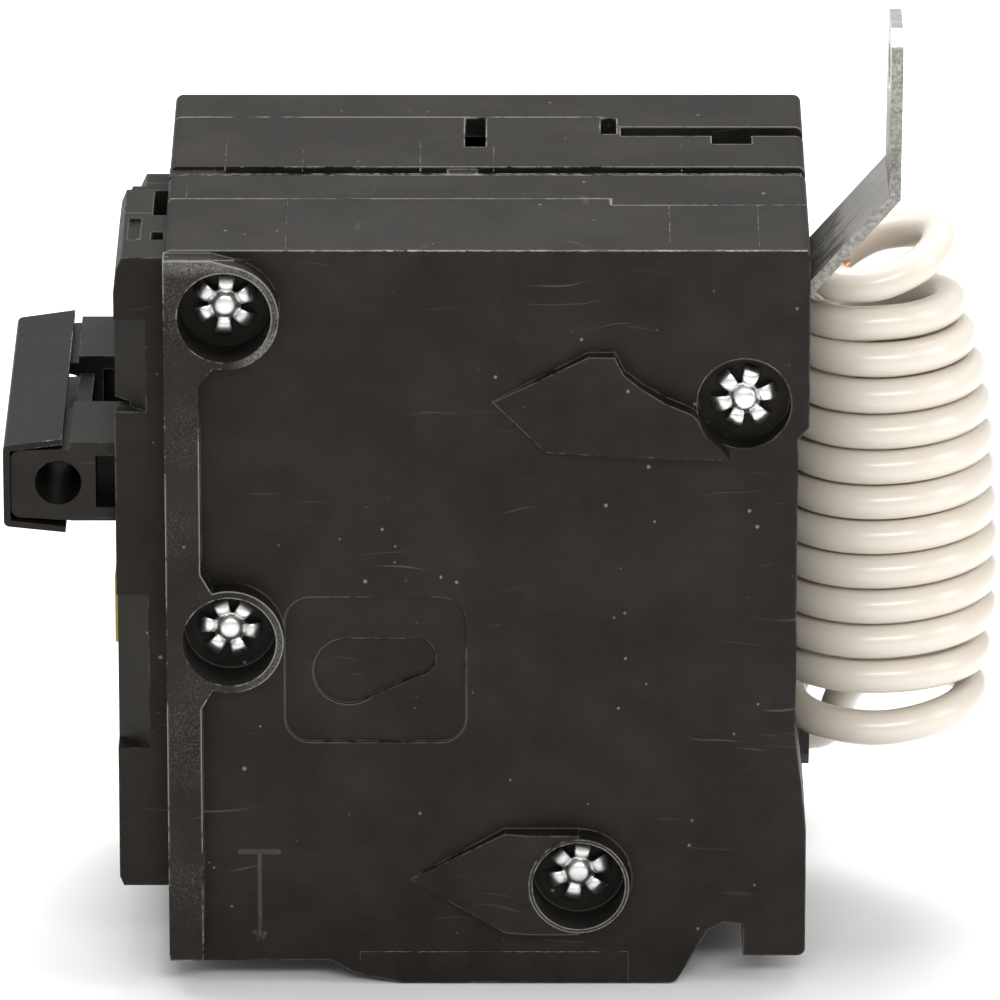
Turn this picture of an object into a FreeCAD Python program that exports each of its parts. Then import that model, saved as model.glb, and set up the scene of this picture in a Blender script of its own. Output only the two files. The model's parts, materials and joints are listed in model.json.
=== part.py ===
import FreeCAD, Part
import math
import os
import Sketcher
from FreeCAD import Placement, Rotation, Vector

# Two-pole ground-fault breaker. The handles face -X, the line strap and the pigtail leave at +X, +Z is the
# line end. Positions below are measured from the front bottom edge of the case: x into the case, y from the
# near side face, z up. Every finished sub-part is then shifted so that the origin lies on the flat foot.
SIZES = {
    # case
    "pole_pitch": 25.4, "case_depth": 63.2, "case_top": 73.9, "case_floor": -0.9, "foot_level": -3.3,
    "relief": 2.4, "wall": 2.0, "parting": 18.0, "near_jog": 16.0, "far_jog": 14.9, "jog_start": 43.8,
    "base_side": 25.2, "base_wall": 1.8, "cavity_back": 60.2, "strip_width": 3.4, "back_recess": 1.1,
    "toe_level": -0.4, "toe_front": 57.0, "foot_front": 22.9, "foot_back": 50.3,
    # rivets and their columns
    "bore_radius": 4.6, "bore_floor": 5.0, "boss_radius": 5.35, "cup_radius": 5.65, "cup_end": 6.2,
    "tail_cup": 21.0, "column_radius": 3.6, "shank_radius": 1.5, "shank_hole": 1.55, "rivet_tail": 47.9, "tail_radius": 3.0,
    # nose around the handles
    "nose_front": -5.0, "nose_wall": 2.0, "nose_near": 4.5, "nose_bottom": 6.3, "near_nose_top": 72.4,
    "far_nose_top": 66.9, "far_nose_end": 20.9, "window_low": 39.0, "window_high": 56.9,
    # bay for the wire coil in the back of the case
    "coil_x": 71.2, "coil_y": 25.4, "bay_radius": 12.4, "bay_low": 12.5, "bay_high": 66.0, "bay_wall": 1.8,
    # handles
    "pivot_x": 9.0, "pivot_z": 48.0, "handle_near": 6.7, "handle_width": 12.0, "pin_radius": 1.5,
    "pin_bore": 1.55, "hub_radius": 6.5, "tie_near": 6.3, "tie_length": 38.2,
    # contacts
    "arm_x": 20.0, "arm_z": 50.0, "arm_y": 10.2, "arm_width": 5.0, "contact_radius": 1.6,
    "contact_height": 1.0, "strap_level": 63.3, "strap_thick": 1.15, "strap_near": 6.4, "strap_width": 12.6,
    "strap_hole": 2.6, "strap_hole_z": 89.2, "strap_top": 94.3,
    # trip parts
    "cradle_x": 26.0, "cradle_z": 66.0, "cradle_y": 19.0, "cradle_thick": 1.8, "bar_x": 36.0,
    "bar_size": 4.0, "bar_z": 32.0, "bar_near": 7.0, "bar_far": 44.0, "plunger_y": 39.6, "plunger_z": 34.0,
    "plunger_radius": 1.5, "winding_radius": 4.2,
    # load terminals
    "lug_x": 5.3, "lug_length": 10.0, "lug_width": 8.4, "lug_low": 1.3, "lug_height": 8.0, "lug_wall": 1.4,
    "screw_z": 4.0, "screw_radius": 1.75, "screw_bore": 1.8, "head_radius": 2.2, "access_radius": 2.35,
    "near_lug_y": 12.7, "far_lug_y": 34.7, "neutral_lug_y": 43.8,
    # sensing toroids
    "ring_x": 24.0, "ring_y": 14.0, "ring_outer": 8.4, "ring_inner": 4.2, "ring_height": 6.0,
    # pigtail
    "wire_radius": 1.8, "exit_x": 64.2, "exit_y": 35.4, "exit_z": 10.6, "coil_radius": 11.8,
    "coil_low": 14.5, "coil_high": 64.5, "coil_crown": 8.6, "bush_radius": 3.2,
}
RIVETS = ((5.94, 67.7), (6.2, 33.9), (56.8, 58.0), (40.65, 7.9))
RELEASED_ANGLE = 12.0  # how far each contact arm hangs open in the released position


class Dim:
    """A length together with the spreadsheet expression that drives it."""

    def __init__(self, value, text):
        self.value = value
        self.text = text

    def join(self, other, sign, result):
        text = other.text if isinstance(other, Dim) else repr(float(other))
        return Dim(result, "(" + self.text + " " + sign + " " + text + ")")

    def __add__(self, other):
        return self.join(other, "+", self.value + number(other))

    def __radd__(self, other):
        return self + other

    def __sub__(self, other):
        return self.join(other, "-", self.value - number(other))

    def __rsub__(self, other):
        return self * -1.0 + other

    def __mul__(self, other):
        return self.join(other, "*", self.value * number(other))


def number(value):
    return value.value if isinstance(value, Dim) else float(value)


doc = FreeCAD.newDocument("GroundFaultBreaker")
sheet = doc.addObject("Spreadsheet::Sheet", "Sizes")
for row, (alias, size) in enumerate(SIZES.items(), start=1):
    sheet.set("A%d" % row, alias)
    sheet.set("B%d" % row, repr(size))
    sheet.setAlias("B%d" % row, alias)
doc.recompute()
finished = []


def dim(alias):
    return Dim(SIZES[alias], "Sizes." + alias)


def bind(feature, path, value):
    """Set a property and, where the value is a Dim, tie it to the spreadsheet."""
    if isinstance(value, Dim):
        feature.setExpression(path, value.text)


def locate(feature, low, rotation=Rotation()):
    feature.Placement = Placement(Vector(*(number(v) for v in low)), rotation)
    for letter, value in zip("xyz", low):
        bind(feature, "Placement.Base." + letter, value)


def box(name, low, high):
    """Block between two opposite corners."""
    feature = doc.addObject("Part::Box", name)
    for prop, start, end in zip(("Length", "Width", "Height"), low, high):
        setattr(feature, prop, number(end) - number(start))
        if isinstance(start, Dim) or isinstance(end, Dim):
            length = end - start
            bind(feature, prop, length)
    locate(feature, low)
    return feature


AXIS_TURN = {"X": Rotation(Vector(0, 1, 0), 90), "Y": Rotation(Vector(1, 0, 0), -90), "Z": Rotation()}


def rod(name, axis, start, length, radius, top_radius=None):
    """Cylinder, or cone when a second radius is given, from a start point along one axis."""
    kind = "Part::Cylinder" if top_radius is None else "Part::Cone"
    feature = doc.addObject(kind, name)
    if top_radius is None:
        feature.Radius = number(radius)
        bind(feature, "Radius", radius)
    else:
        feature.Radius1 = number(radius)
        feature.Radius2 = number(top_radius)
        bind(feature, "Radius1", radius)
        bind(feature, "Radius2", top_radius)
    feature.Height = number(length)
    bind(feature, "Height", length)
    locate(feature, start, AXIS_TURN[axis])
    return feature


PLANES = {
    "XZ": (Rotation(Vector(1, 0, 0), 90), Vector(0, 1, 0), 1),
    "YZ": (Rotation(Vector(1, 1, 1), 120), Vector(1, 0, 0), 0),
    "XY": (Rotation(), Vector(0, 0, 1), 2),
}


def plate(name, plane, points, low, high):
    """Prism of a closed outline drawn in one plane, from level low to level high on the third axis."""
    turn, direction, axis = PLANES[plane]
    sketch = doc.addObject("Sketcher::SketchObject", name + "_outline")
    count = len(points)
    flat = [Vector(number(u), number(v), 0) for u, v in points]
    for index in range(count):
        sketch.addGeometry(Part.LineSegment(flat[index], flat[(index + 1) % count]), False)
    for index in range(count):
        sketch.addConstraint(Sketcher.Constraint("Coincident", index, 2, (index + 1) % count, 1))
    for index, corner in enumerate(points):
        for kind, value in zip(("DistanceX", "DistanceY"), corner):
            key = sketch.addConstraint(Sketcher.Constraint(kind, -1, 1, index, 1, number(value)))
            bind(sketch, "Constraints[%d]" % key, value)
    base = [0.0, 0.0, 0.0]
    base[axis] = low
    locate(sketch, base, turn)
    feature = doc.addObject("Part::Extrusion", name)
    feature.Base = sketch
    feature.DirMode = "Custom"
    feature.Dir = direction
    feature.LengthFwd = number(high) - number(low)
    if isinstance(low, Dim) or isinstance(high, Dim):
        bind(feature, "LengthFwd", high - low)
    feature.Solid = True
    return feature


def fuse(name, *features):
    if len(features) == 1:
        return features[0]
    feature = doc.addObject("Part::MultiFuse", name)
    feature.Shapes = list(features)
    feature.Refine = True
    return feature


def cut(name, base, *tools):
    feature = doc.addObject("Part::Cut", name)
    feature.Base = base
    feature.Tool = fuse(name + "_tools", *tools)
    feature.Refine = True
    return feature


def common(name, first, second):
    feature = doc.addObject("Part::MultiCommon", name)
    feature.Shapes = [first, second]
    return feature


def group(name, features):
    feature = doc.addObject("Part::Compound", name)
    feature.Links = list(features)
    return feature


def rounded(name, base, corners, axis):
    """Round the edges that run along one axis through the listed (u, v, radius) corners."""
    doc.recompute()
    flat_axes = [index for index in range(3) if index != axis]
    chosen = []
    for number_of_edge, edge in enumerate(base.Shape.Edges, start=1):
        ends = [vertex.Point for vertex in edge.Vertexes]
        if len(ends) != 2:
            continue
        if any(abs(ends[0][index] - ends[1][index]) > 1e-6 for index in flat_axes):
            continue
        for u, v, radius in corners:
            if abs(ends[0][flat_axes[0]] - u) < 0.01 and abs(ends[0][flat_axes[1]] - v) < 0.01:
                chosen.append((number_of_edge, radius, radius))
    feature = doc.addObject("Part::Fillet", name)
    feature.Base = base
    feature.Edges = chosen
    return feature


def finish(label, feature, turn=None):
    """Name a sub-part and shift it so that the row's origin is on the foot, between the two poles."""
    if feature.TypeId in ("Part::Box", "Part::Cylinder"):
        feature = group(feature.Name + "_holder", [feature])
    feature.Label = label
    shift = (dim("case_depth") * -0.5, dim("pole_pitch") * -1.0, dim("foot_level") * -1.0)
    if turn:
        centre, degrees = turn
        shift = tuple(start + value for start, value in zip(shift, centre))
        locate(feature, shift, Rotation(Vector(0, 1, 0), degrees))
    else:
        locate(feature, shift)
    finished.append(feature)
    return feature


def band(points, thickness):
    """Outline of a strip of sheet metal that follows the given centre line."""
    half = thickness / 2.0
    sides = []
    for index, (u, v) in enumerate(points):
        before = points[max(index - 1, 0)]
        after = points[min(index + 1, len(points) - 1)]
        first = Vector(u - before[0], v - before[1], 0)
        second = Vector(after[0] - u, after[1] - v, 0)
        first = first if first.Length > 0 else second
        second = second if second.Length > 0 else first
        first.normalize()
        second.normalize()
        mitre = first + second
        mitre.normalize()
        reach = half / mitre.dot(first)
        sides.append((Vector(-mitre.y, mitre.x, 0) * reach, u, v))
    left = [(u + offset.x, v + offset.y) for offset, u, v in sides]
    right = [(u - offset.x, v - offset.y) for offset, u, v in reversed(sides)]
    return left + right


class Pole:
    """What differs between the two pole modules."""

    def __init__(self, name, start, jog, nose_low, nose_high, nose_top):
        self.name = name
        self.start = start
        self.jog = jog
        self.nose_low = nose_low
        self.nose_high = nose_high
        self.nose_top = nose_top

    def y(self, local):
        return self.start + local if isinstance(self.start, Dim) else local


near = Pole("near", 0.0, dim("near_jog"), dim("nose_near"), dim("base_side"), dim("near_nose_top"))
far = Pole("far", dim("pole_pitch"), dim("far_jog"), 0.2, dim("far_nose_end"), dim("far_nose_top"))
POLES = (near, far)


# ---------------------------------------------------------------- case
def case_outline(name, low, high):
    """Side outline of the moulding: foot with its rail notch, toe and stepped back."""
    back = dim("case_depth")
    recess = back - dim("back_recess")
    points = (
        (0.0, dim("case_floor")), (15.9, dim("case_floor")), (18.2, -2.2), (dim("foot_front"), dim("foot_level")),
        (dim("foot_back"), dim("foot_level")), (53.5, 2.3), (55.2, 3.2), (dim("toe_front"), 2.9),
        (dim("toe_front"), dim("toe_level")), (back, dim("toe_level")), (back, 13.0), (recess, 23.2),
        (recess, 54.2), (back, 55.5), (back, dim("case_top")), (0.0, dim("case_top")),
    )
    body = plate(name + "_blank", "XZ", points, low, high)
    top = SIZES["case_top"]
    corners = (
        (0.0, top, 0.8), (SIZES["case_depth"], top, 0.8), (SIZES["case_depth"], SIZES["toe_level"], 0.8),
        (0.0, SIZES["case_floor"], 0.5), (SIZES["foot_front"], SIZES["foot_level"], 5.0),
        (SIZES["foot_back"], SIZES["foot_level"], 0.8), (55.2, 3.2, 0.8),
    )
    return rounded(name, body, corners, 1)


def columns(name, pole, low, high, radius, holes=RIVETS):
    start, end = pole.y(low), pole.y(high)
    made = []
    for index, (x, z) in enumerate(holes):
        made.append(rod("%s_%d" % (name, index), "Y", (x, start, z), end - start, radius))
    return made


def cavity(name, pole, low, high):
    """Hollow inside one half of the case, leaving the rivet columns, the coil bay and the notch solid."""
    space = box(name + "_space", (dim("wall"), pole.y(low), dim("case_floor") + dim("wall")),
                (dim("cavity_back"), pole.y(high), dim("case_top") - dim("wall")))
    bay = rod(name + "_bay", "Z", (dim("coil_x"), dim("coil_y"), dim("bay_low") - dim("bay_wall")),
              dim("bay_high") - dim("bay_low") + dim("bay_wall") * 2.0, dim("bay_radius") + dim("bay_wall"))
    notch = box(name + "_notch", (51.0, pole.y(low), dim("case_floor")), (61.0, pole.y(high), 5.2))
    keep = [bay, notch] + columns(name + "_column", pole, low, high, dim("column_radius"))
    if number(low) < SIZES["cup_end"]:
        keep += columns(name + "_cup", pole, low, dim("cup_end"), dim("cup_radius"))
    if pole is far and number(high) > SIZES["tail_cup"]:
        keep += columns(name + "_tail_cup", pole, dim("tail_cup"), high, dim("cup_radius"))
    return cut(name, space, *keep)


def bay_tool(name):
    return rod(name, "Z", (dim("coil_x"), dim("coil_y"), dim("bay_low")), dim("bay_high") - dim("bay_low"),
               dim("bay_radius"))


def terminal_tools(name):
    """Screw access in the front wall and wire entry in the floor, for all three terminals."""
    tools = []
    for terminal in ("near_lug_y", "far_lug_y", "neutral_lug_y"):
        centre = dim(terminal)
        tools.append(rod("%s_%s_access" % (name, terminal), "X", (-0.5, centre, dim("screw_z")), 3.0,
                         dim("access_radius")))
        tools.append(box("%s_%s_entry" % (name, terminal), (8.9, centre - 2.8, -1.5), (14.1, centre + 2.8, 1.5)))
    return tools


def nose(name, pole, low, high):
    """Part of the raised nose that belongs to one half of the case."""
    top = pole.nose_top
    front = dim("nose_front")
    block = plate(name + "_block", "XZ", (
        (front + 0.4, dim("nose_bottom")), (0.5, dim("nose_bottom")), (0.5, top), (front + 0.8, top),
        (front + 0.3, top - 1.2), (front, top - 3.6), (front, dim("nose_bottom") + 1.0)), low, high)
    return block


def nose_tools(name, pole, low, high):
    """Handle window, hollow nose and the two slanted label fields on its near edge."""
    y = pole.y
    front = dim("nose_front")
    inner = front + dim("nose_wall")
    side = 7.0 if pole is near else 4.4
    end = 23.4 if pole is near else 19.0
    tools = [
        box(name + "_window", (front - 1.0, y(6.2), dim("window_low")), (2.5, y(19.2), dim("window_high"))),
        box(name + "_hollow_low", (inner, y(side), 9.0), (2.5, y(end), 37.0)),
        box(name + "_hollow_high", (inner, y(side), 58.8), (2.5, y(end), dim("far_nose_top") - 2.0)),
    ]
    if pole is near:
        for index, (z_low, z_high) in enumerate(((56.4, 66.0), (21.0, 37.2))):
            tools.append(plate("%s_field_%d" % (name, index), "XY",
                               ((front - 1.0, 4.0), (-1.9, 4.0), (-1.9, 4.6), (front - 1.0, 8.6)), z_low, z_high))
        tools.append(box(name + "_pocket", (-1.4, 17.3, 69.5), (0.0, 24.8, 73.0)))
        tools.append(box(name + "_slit", (-1.4, 9.9, 71.0), (-0.2, 12.3, 73.0)))
        tools.append(box(name + "_dimple", (-3.7, 9.9, 72.0), (-2.5, 16.4, 73.0)))
    else:
        tools.append(box(name + "_button", (front - 1.0, y(8.3), 20.8), (inner + 0.5, y(17.2), 28.2)))
        tools.append(plate(name + "_chamfer", "XZ", (
            (front - 1.0, 60.0), (front - 1.0, 68.0), (-2.4, 68.0)), y(17.0), y(22.0)))
    return tools


def raised_features(pole):
    """Edge strip, rivet bosses and the two arrow pads standing proud of the side panel."""
    y = pole.y
    sink = dim("relief") + 0.3
    name = pole.name
    parts = [
        box(name + "_strip", (0.0, y(0.0), 0.0), (dim("strip_width"), y(sink), dim("case_top") - 0.3)),
        plate(name + "_strip_top", "XZ", ((0.4, 60.0), (0.4, 73.6), (4.6, 73.6), (7.2, 72.9), (7.0, 66.0),
                                          (4.7, 62.3), (3.4, 60.6)), y(0.0), y(sink)),
        plate(name + "_strip_mid", "XZ", ((0.4, 26.6), (0.4, 41.2), (3.4, 41.0), (4.5, 39.0), (6.0, 37.0),
                                          (6.0, 30.6), (4.5, 28.7), (3.4, 26.8)), y(0.0), y(sink)),
    ]
    for index, (x, z) in enumerate(RIVETS[:2]):
        parts.append(rod("%s_boss_%d" % (name, index), "Y", (x, y(0.0), z), sink, dim("boss_radius")))
    arrow_upper = ((32.1, 58.2), (41.5, 63.3), (44.1, 63.3), (45.0, 61.5), (46.6, 60.2), (49.0, 58.7),
                   (51.6, 57.6), (52.6, 56.6), (55.4, 52.8), (37.3, 53.2))
    arrow_lower = ((23.9, 7.8), (33.3, 13.2), (40.65, 13.2), (40.65, 2.6), (33.3, 2.6))
    flush = y(dim("relief") - 0.15)
    for index, outline in enumerate((arrow_upper, arrow_lower)):
        tip = outline[0][0]
        end = max(point[0] for point in outline)
        label = "%s_arrow_%d" % (name, index)
        pad = plate(label + "_pad", "XZ", outline, y(0.2), y(sink))
        # the pad rises from its tip, and is proud only beside the rivet
        ramp = plate(label + "_ramp", "XY", (
            (tip - 1.0, y(sink + 0.1)), (tip - 1.0, flush), (tip, flush), (tip + 8.6, y(1.1)), (end - 5.0, y(0.4)),
            (end + 1.0, y(0.4)), (end + 1.0, y(sink + 0.1))), 0.0, 70.0)
        parts.append(common(label, pad, ramp))
    x, z = RIVETS[3]
    parts.append(rod(name + "_arrow_ring", "Y", (x, y(0.2), z), sink - 0.2, 5.0, 5.3))
    return parts


def relief_tools(pole):
    """Shallow rounded square with a deeper teardrop inside it."""
    y = pole.y
    name = pole.name
    square = rounded(name + "_square", plate(
        name + "_square_blank", "XZ", ((11.6, 22.4), (29.5, 22.4), (29.5, 37.7), (11.6, 37.7)), y(2.0),
        y(dim("relief") + 0.35)),
        ((11.6, 22.4, 2.6), (29.5, 22.4, 2.6), (29.5, 37.7, 2.6), (11.6, 37.7, 2.6)), 1)
    depth = y(dim("relief") + 0.8)
    start = y(2.0)
    teardrop = fuse(name + "_teardrop", *(
        rod(name + "_tear_big", "Y", (17.9, start, 29.8), depth - start, 3.5),
        rod(name + "_tear_small", "Y", (24.5, start, 31.3), depth - start, 2.0),
        plate(name + "_tear_sides", "XZ", ((17.35, 33.25), (24.2, 33.25), (24.9, 29.4), (18.4, 26.35)), start, depth)))
    return [square, teardrop]


def wire_gauge():
    """Raised mark that shows how far to strip a wire: a bar, a stem and an arrow head."""
    low = dim("relief") - 0.15
    high = dim("relief") + 0.2
    return [
        box("gauge_bar", (6.9, low, 10.6), (11.0, high, 10.9)),
        box("gauge_stem", (8.85, low, 1.2), (9.05, high, 10.7)),
        plate("gauge_head", "XZ", ((8.3, 2.2), (8.95, 0.8), (9.6, 2.2), (9.35, 2.2), (8.95, 1.4), (8.55, 2.2)),
              low, high),
    ]


def pole_cover(pole):
    name = pole.name + "_cover"
    y = pole.y
    shell = case_outline(name + "_shell", y(dim("relief")), y(dim("parting")))
    body = [shell, nose(name + "_nose", pole, y(pole.nose_low), y(dim("parting")))] + raised_features(pole)
    if pole is near:
        body += wire_gauge()
    else:
        body.append(box(name + "_spacer", (27.6, y(-0.15), 62.0), (30.6, y(dim("relief") + 0.2), 73.6)))
    side = dim("relief") + dim("wall")
    tools = [cavity(name + "_cavity", pole, side, dim("parting") + 1.0), bay_tool(name + "_coil")]
    tools += columns(name + "_bore", pole, -0.5, dim("bore_floor"), dim("bore_radius"))
    tools += columns(name + "_hole", pole, -0.5, dim("parting") + 1.0, dim("shank_hole"))
    tools += nose_tools(name + "_nose_cut", pole, 0.0, dim("parting") + 1.0) + terminal_tools(name)
    tools += relief_tools(pole)
    tools.append(box(name + "_jog", (dim("jog_start"), y(pole.jog), -5.0), (65.0, y(dim("parting") + 1.0), 80.0)))
    tools += side_windows(name, pole) + line_tools(name, pole)
    finish(pole.name + "_pole_cover", cut(name + "_body", fuse(name + "_solid", *body), *tools))


def pole_base(pole):
    name = pole.name + "_base"
    y = pole.y
    shell = case_outline(name + "_shell", y(pole.jog), y(dim("base_side")))
    body = [shell, nose(name + "_nose", pole, y(dim("parting")), y(pole.nose_high))]
    inner = dim("base_side") - dim("base_wall")
    tools = [cavity(name + "_cavity", pole, pole.jog - 1.0, inner), bay_tool(name + "_coil")]
    tools += columns(name + "_hole", pole, pole.jog - 1.0, dim("base_side") + 1.0, dim("shank_hole"))
    tools += nose_tools(name + "_nose_cut", pole, dim("parting"), dim("base_side")) + terminal_tools(name)
    tools.append(box(name + "_jog", (-8.0, y(pole.jog - 1.0), -5.0), (dim("jog_start"), y(dim("parting")), 80.0)))
    tools += side_windows(name, pole) + line_tools(name, pole)
    if pole is far:
        tools += columns(name + "_tail", near, dim("rivet_tail"), 52.0, dim("bore_radius"))
    finish(pole.name + "_pole_base", cut(name + "_body", fuse(name + "_solid", *body), *tools))


def side_windows(name, pole):
    """Openings between the two modules for the trip bar and the primary wires."""
    return [
        box(name + "_bar_window", (dim("bar_x") - 0.5, 22.9, dim("bar_z") - 0.5),
            (dim("bar_x") + dim("bar_size") + 2.6, 30.5, dim("bar_z") + dim("bar_size") + 0.5)),
        box(name + "_wire_window", (20.4, 22.9, 33.9), (28.0, 30.5, 38.2)),
    ]


def line_tools(name, pole):
    """Where the line conductor passes the case: strap slot on the near pole, jaw slot on the far pole."""
    y = pole.y
    if pole is near:
        return [box(name + "_strap_slot", (57.0, dim("strap_near") - 0.2, 62.8),
                    (64.0, dim("strap_near") + dim("strap_width") + 0.2, 69.8))]
    return [
        box(name + "_jaw_top", (44.9, y(12.0), 71.5), (64.0, y(14.9), 75.0)),
        box(name + "_jaw_back", (59.5, y(12.0), 64.6), (64.0, y(14.9), 75.0)),
        box(name + "_jaw_notch", (54.0, y(9.5), 71.5), (58.0, y(12.2), 75.0)),
        box(name + "_jog_gap", (42.9, y(12.6), 71.5), (44.5, y(17.6), 75.0)),
        box(name + "_vent", (29.3, y(8.6), 71.5), (31.4, y(17.7), 75.0)),
        plate(name + "_cord_hole", "YZ", bush_outline(0.05), 58.0, 65.0),
    ]


def bush_outline(clearance):
    """Eight-sided outline of the cable bush."""
    radius = SIZES["bush_radius"] + clearance
    points = []
    for index in range(8):
        angle = math.radians(22.5 + 45.0 * index)
        points.append((dim("exit_y") + radius * math.cos(angle), dim("exit_z") + radius * math.sin(angle)))
    return points


def case_rivets():
    """Four long rivets through both modules, each with a head of six curled petals."""
    rivets = []
    floor = dim("bore_floor")
    for index, (x, z) in enumerate(RIVETS):
        name = "rivet_%d" % index
        parts = [
            rod(name + "_shank", "Y", (x, floor - 0.6, z), dim("rivet_tail") - floor + 0.9, dim("shank_radius")),
            rod(name + "_tail", "Y", (x, dim("rivet_tail"), z), 1.0, dim("tail_radius")),
            rod(name + "_ring", "Y", (x, floor - 0.9, z), 0.9, 1.8, 2.1),
            rod(name + "_core", "Y", (x, floor - 1.3, z), 0.7, 0.9, 1.4),
        ]
        for petal in range(6):
            angle = math.radians(60.0 * petal + 15.0 * index)
            out = Vector(math.cos(angle), 0, math.sin(angle))
            side = Vector(-math.sin(angle), 0, math.cos(angle))
            outline = []
            for reach, half in ((1.2, 0.55), (2.9, 0.8), (2.9, -0.8), (1.2, -0.55)):
                corner = out * reach + side * half
                outline.append((x + corner.x, z + corner.z))
            parts.append(plate("%s_petal_%d" % (name, petal), "XZ", outline, floor - 0.6, floor))
        rivets.append(fuse(name, *parts))
    finish("case_rivets", group("rivets", rivets))


# ---------------------------------------------------------------- handles and mechanism
def pivot_pins():
    """Six equal steel pins that carry the handles, the contact arms and the cradles."""
    pins = []
    start = dim("relief") + dim("wall")
    length = dim("base_side") - dim("base_wall") - start
    for pole in POLES:
        for part in ("pivot", "arm", "cradle"):
            pins.append(rod("%s_%s_pin" % (pole.name, part), "Y",
                            (dim(part + "_x"), pole.y(start), dim(part + "_z")), length, dim("pin_radius")))
    finish("pivot_pins", group("pins", pins))


def handle(pole):
    name = pole.name + "_handle"
    low = pole.y(dim("handle_near"))
    high = low + dim("handle_width")
    x, z = dim("pivot_x"), dim("pivot_z")
    head = rounded(name + "_head", plate(name + "_head_blank", "XZ", (
        (-15.35, 44.6), (-9.1, 44.2), (-7.35, 48.1), (-9.0, 51.75), (-15.35, 51.5)), low, high),
        ((-15.35, 44.6, 0.9), (-15.35, 51.5, 0.9)), 1)
    stem = box(name + "_stem", (-9.5, low, z - 3.8), (x, high, z + 4.4))
    hub = rod(name + "_hub", "Y", (x, low, z), dim("handle_width"), dim("hub_radius"))
    solids = [head, stem, hub]
    if pole is near:
        # a bar behind the tie keeps the two handles apart
        solids.append(box(name + "_bridge", (-9.4, high - 0.5, 45.0), (-7.9, far.y(dim("handle_near")) - 0.2, 50.6)))
    tools = [
        rod(name + "_eye", "Y", (-10.7, low - 1.0, 48.2), dim("handle_width") + 2.0, 2.3),
        rod(name + "_bore", "Y", (x, low - 1.0, z), dim("handle_width") + 2.0, dim("pin_bore")),
        box(name + "_pocket_near", (-7.0, low - 1.0, z - 2.4), (2.0, low + 4.3, z + 3.0)),
        box(name + "_pocket_far", (-7.0, high - 4.3, z - 2.4), (2.0, high + 1.0, z + 3.0)),
    ]
    finish(name, cut(name + "_body", fuse(name + "_solid", *solids), *tools))


def handle_tie():
    """Bent sheet that ties the two handles together."""
    outline = ((-16.1, 43.75), (-10.0, 43.1), (-10.0, 43.7), (-15.42, 44.35), (-15.42, 51.6), (-10.25, 52.3),
               (-10.25, 52.95), (-16.1, 52.1))
    sheet_metal = plate("tie_blank", "XZ", outline, dim("tie_near"), dim("tie_near") + dim("tie_length"))
    finish("handle_tie", rounded("tie", sheet_metal, ((-16.1, 43.75, 0.6), (-16.1, 52.1, 0.6)), 1))


def contact_arm(pole):
    """Contact arm, drawn closed about its own pivot and then hung open."""
    name = pole.name + "_contact_arm"
    low = pole.y(dim("arm_y"))
    high = low + dim("arm_width")
    tip = (28.0, 9.2)
    pad_top = tip[1] + 2.0
    bar = plate(name + "_bar", "XZ", ((0.0, -2.2), (3.0, -1.6), (tip[0], tip[1] - 1.2), (32.0, tip[1]),
                                      (32.0, pad_top), (27.8, pad_top), (2.0, 2.4), (0.0, 2.6)), low, high)
    hub = rod(name + "_hub", "Y", (0.0, low, 0.0), dim("arm_width"), 3.0)
    bore = rod(name + "_bore", "Y", (0.0, low - 1.0, 0.0), dim("arm_width") + 2.0, dim("pin_bore"))
    turn = ((dim("arm_x"), 0.0, dim("arm_z")), RELEASED_ANGLE)
    finish(name, cut(name + "_body", fuse(name + "_solid", bar, hub), bore), turn)
    button = rod(pole.name + "_moving", "Z", (29.8, low + dim("arm_width") * 0.5, pad_top),
                 dim("contact_height"), dim("contact_radius"))
    finish(pole.name + "_moving_contact", button, turn)


def cradle(pole):
    name = pole.name + "_cradle"
    low = pole.y(dim("cradle_y"))
    high = low + dim("cradle_thick")
    x, z = dim("cradle_x"), dim("cradle_z")
    arm = plate(name + "_arm", "XZ", ((23.6, 66.5), (26.0, 68.8), (28.8, 67.0), (31.8, 57.8), (39.5, 45.0),
                                      (39.5, 41.6), (36.4, 41.6), (27.6, 55.6)), low, high)
    hub = rod(name + "_hub", "Y", (x, low, z), dim("cradle_thick"), 3.0)
    bore = rod(name + "_bore", "Y", (x, low - 1.0, z), dim("cradle_thick") + 2.0, dim("pin_bore"))
    finish(name, cut(name + "_body", fuse(name + "_solid", arm, hub), bore))


def toggle_spring(pole):
    """Envelope of the extension spring between the cradle and the contact arm."""
    feature = doc.addObject("Part::Cylinder", pole.name + "_toggle")
    feature.Radius = 1.3
    feature.Height = 8.0
    holder = group(pole.name + "_toggle_holder", [feature])
    lean = Rotation(Vector(0, 1, 0), -28.0)
    locate(feature, (32.4, pole.y(16.9), 55.4), lean)
    finish(pole.name + "_toggle_spring", holder)


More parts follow.
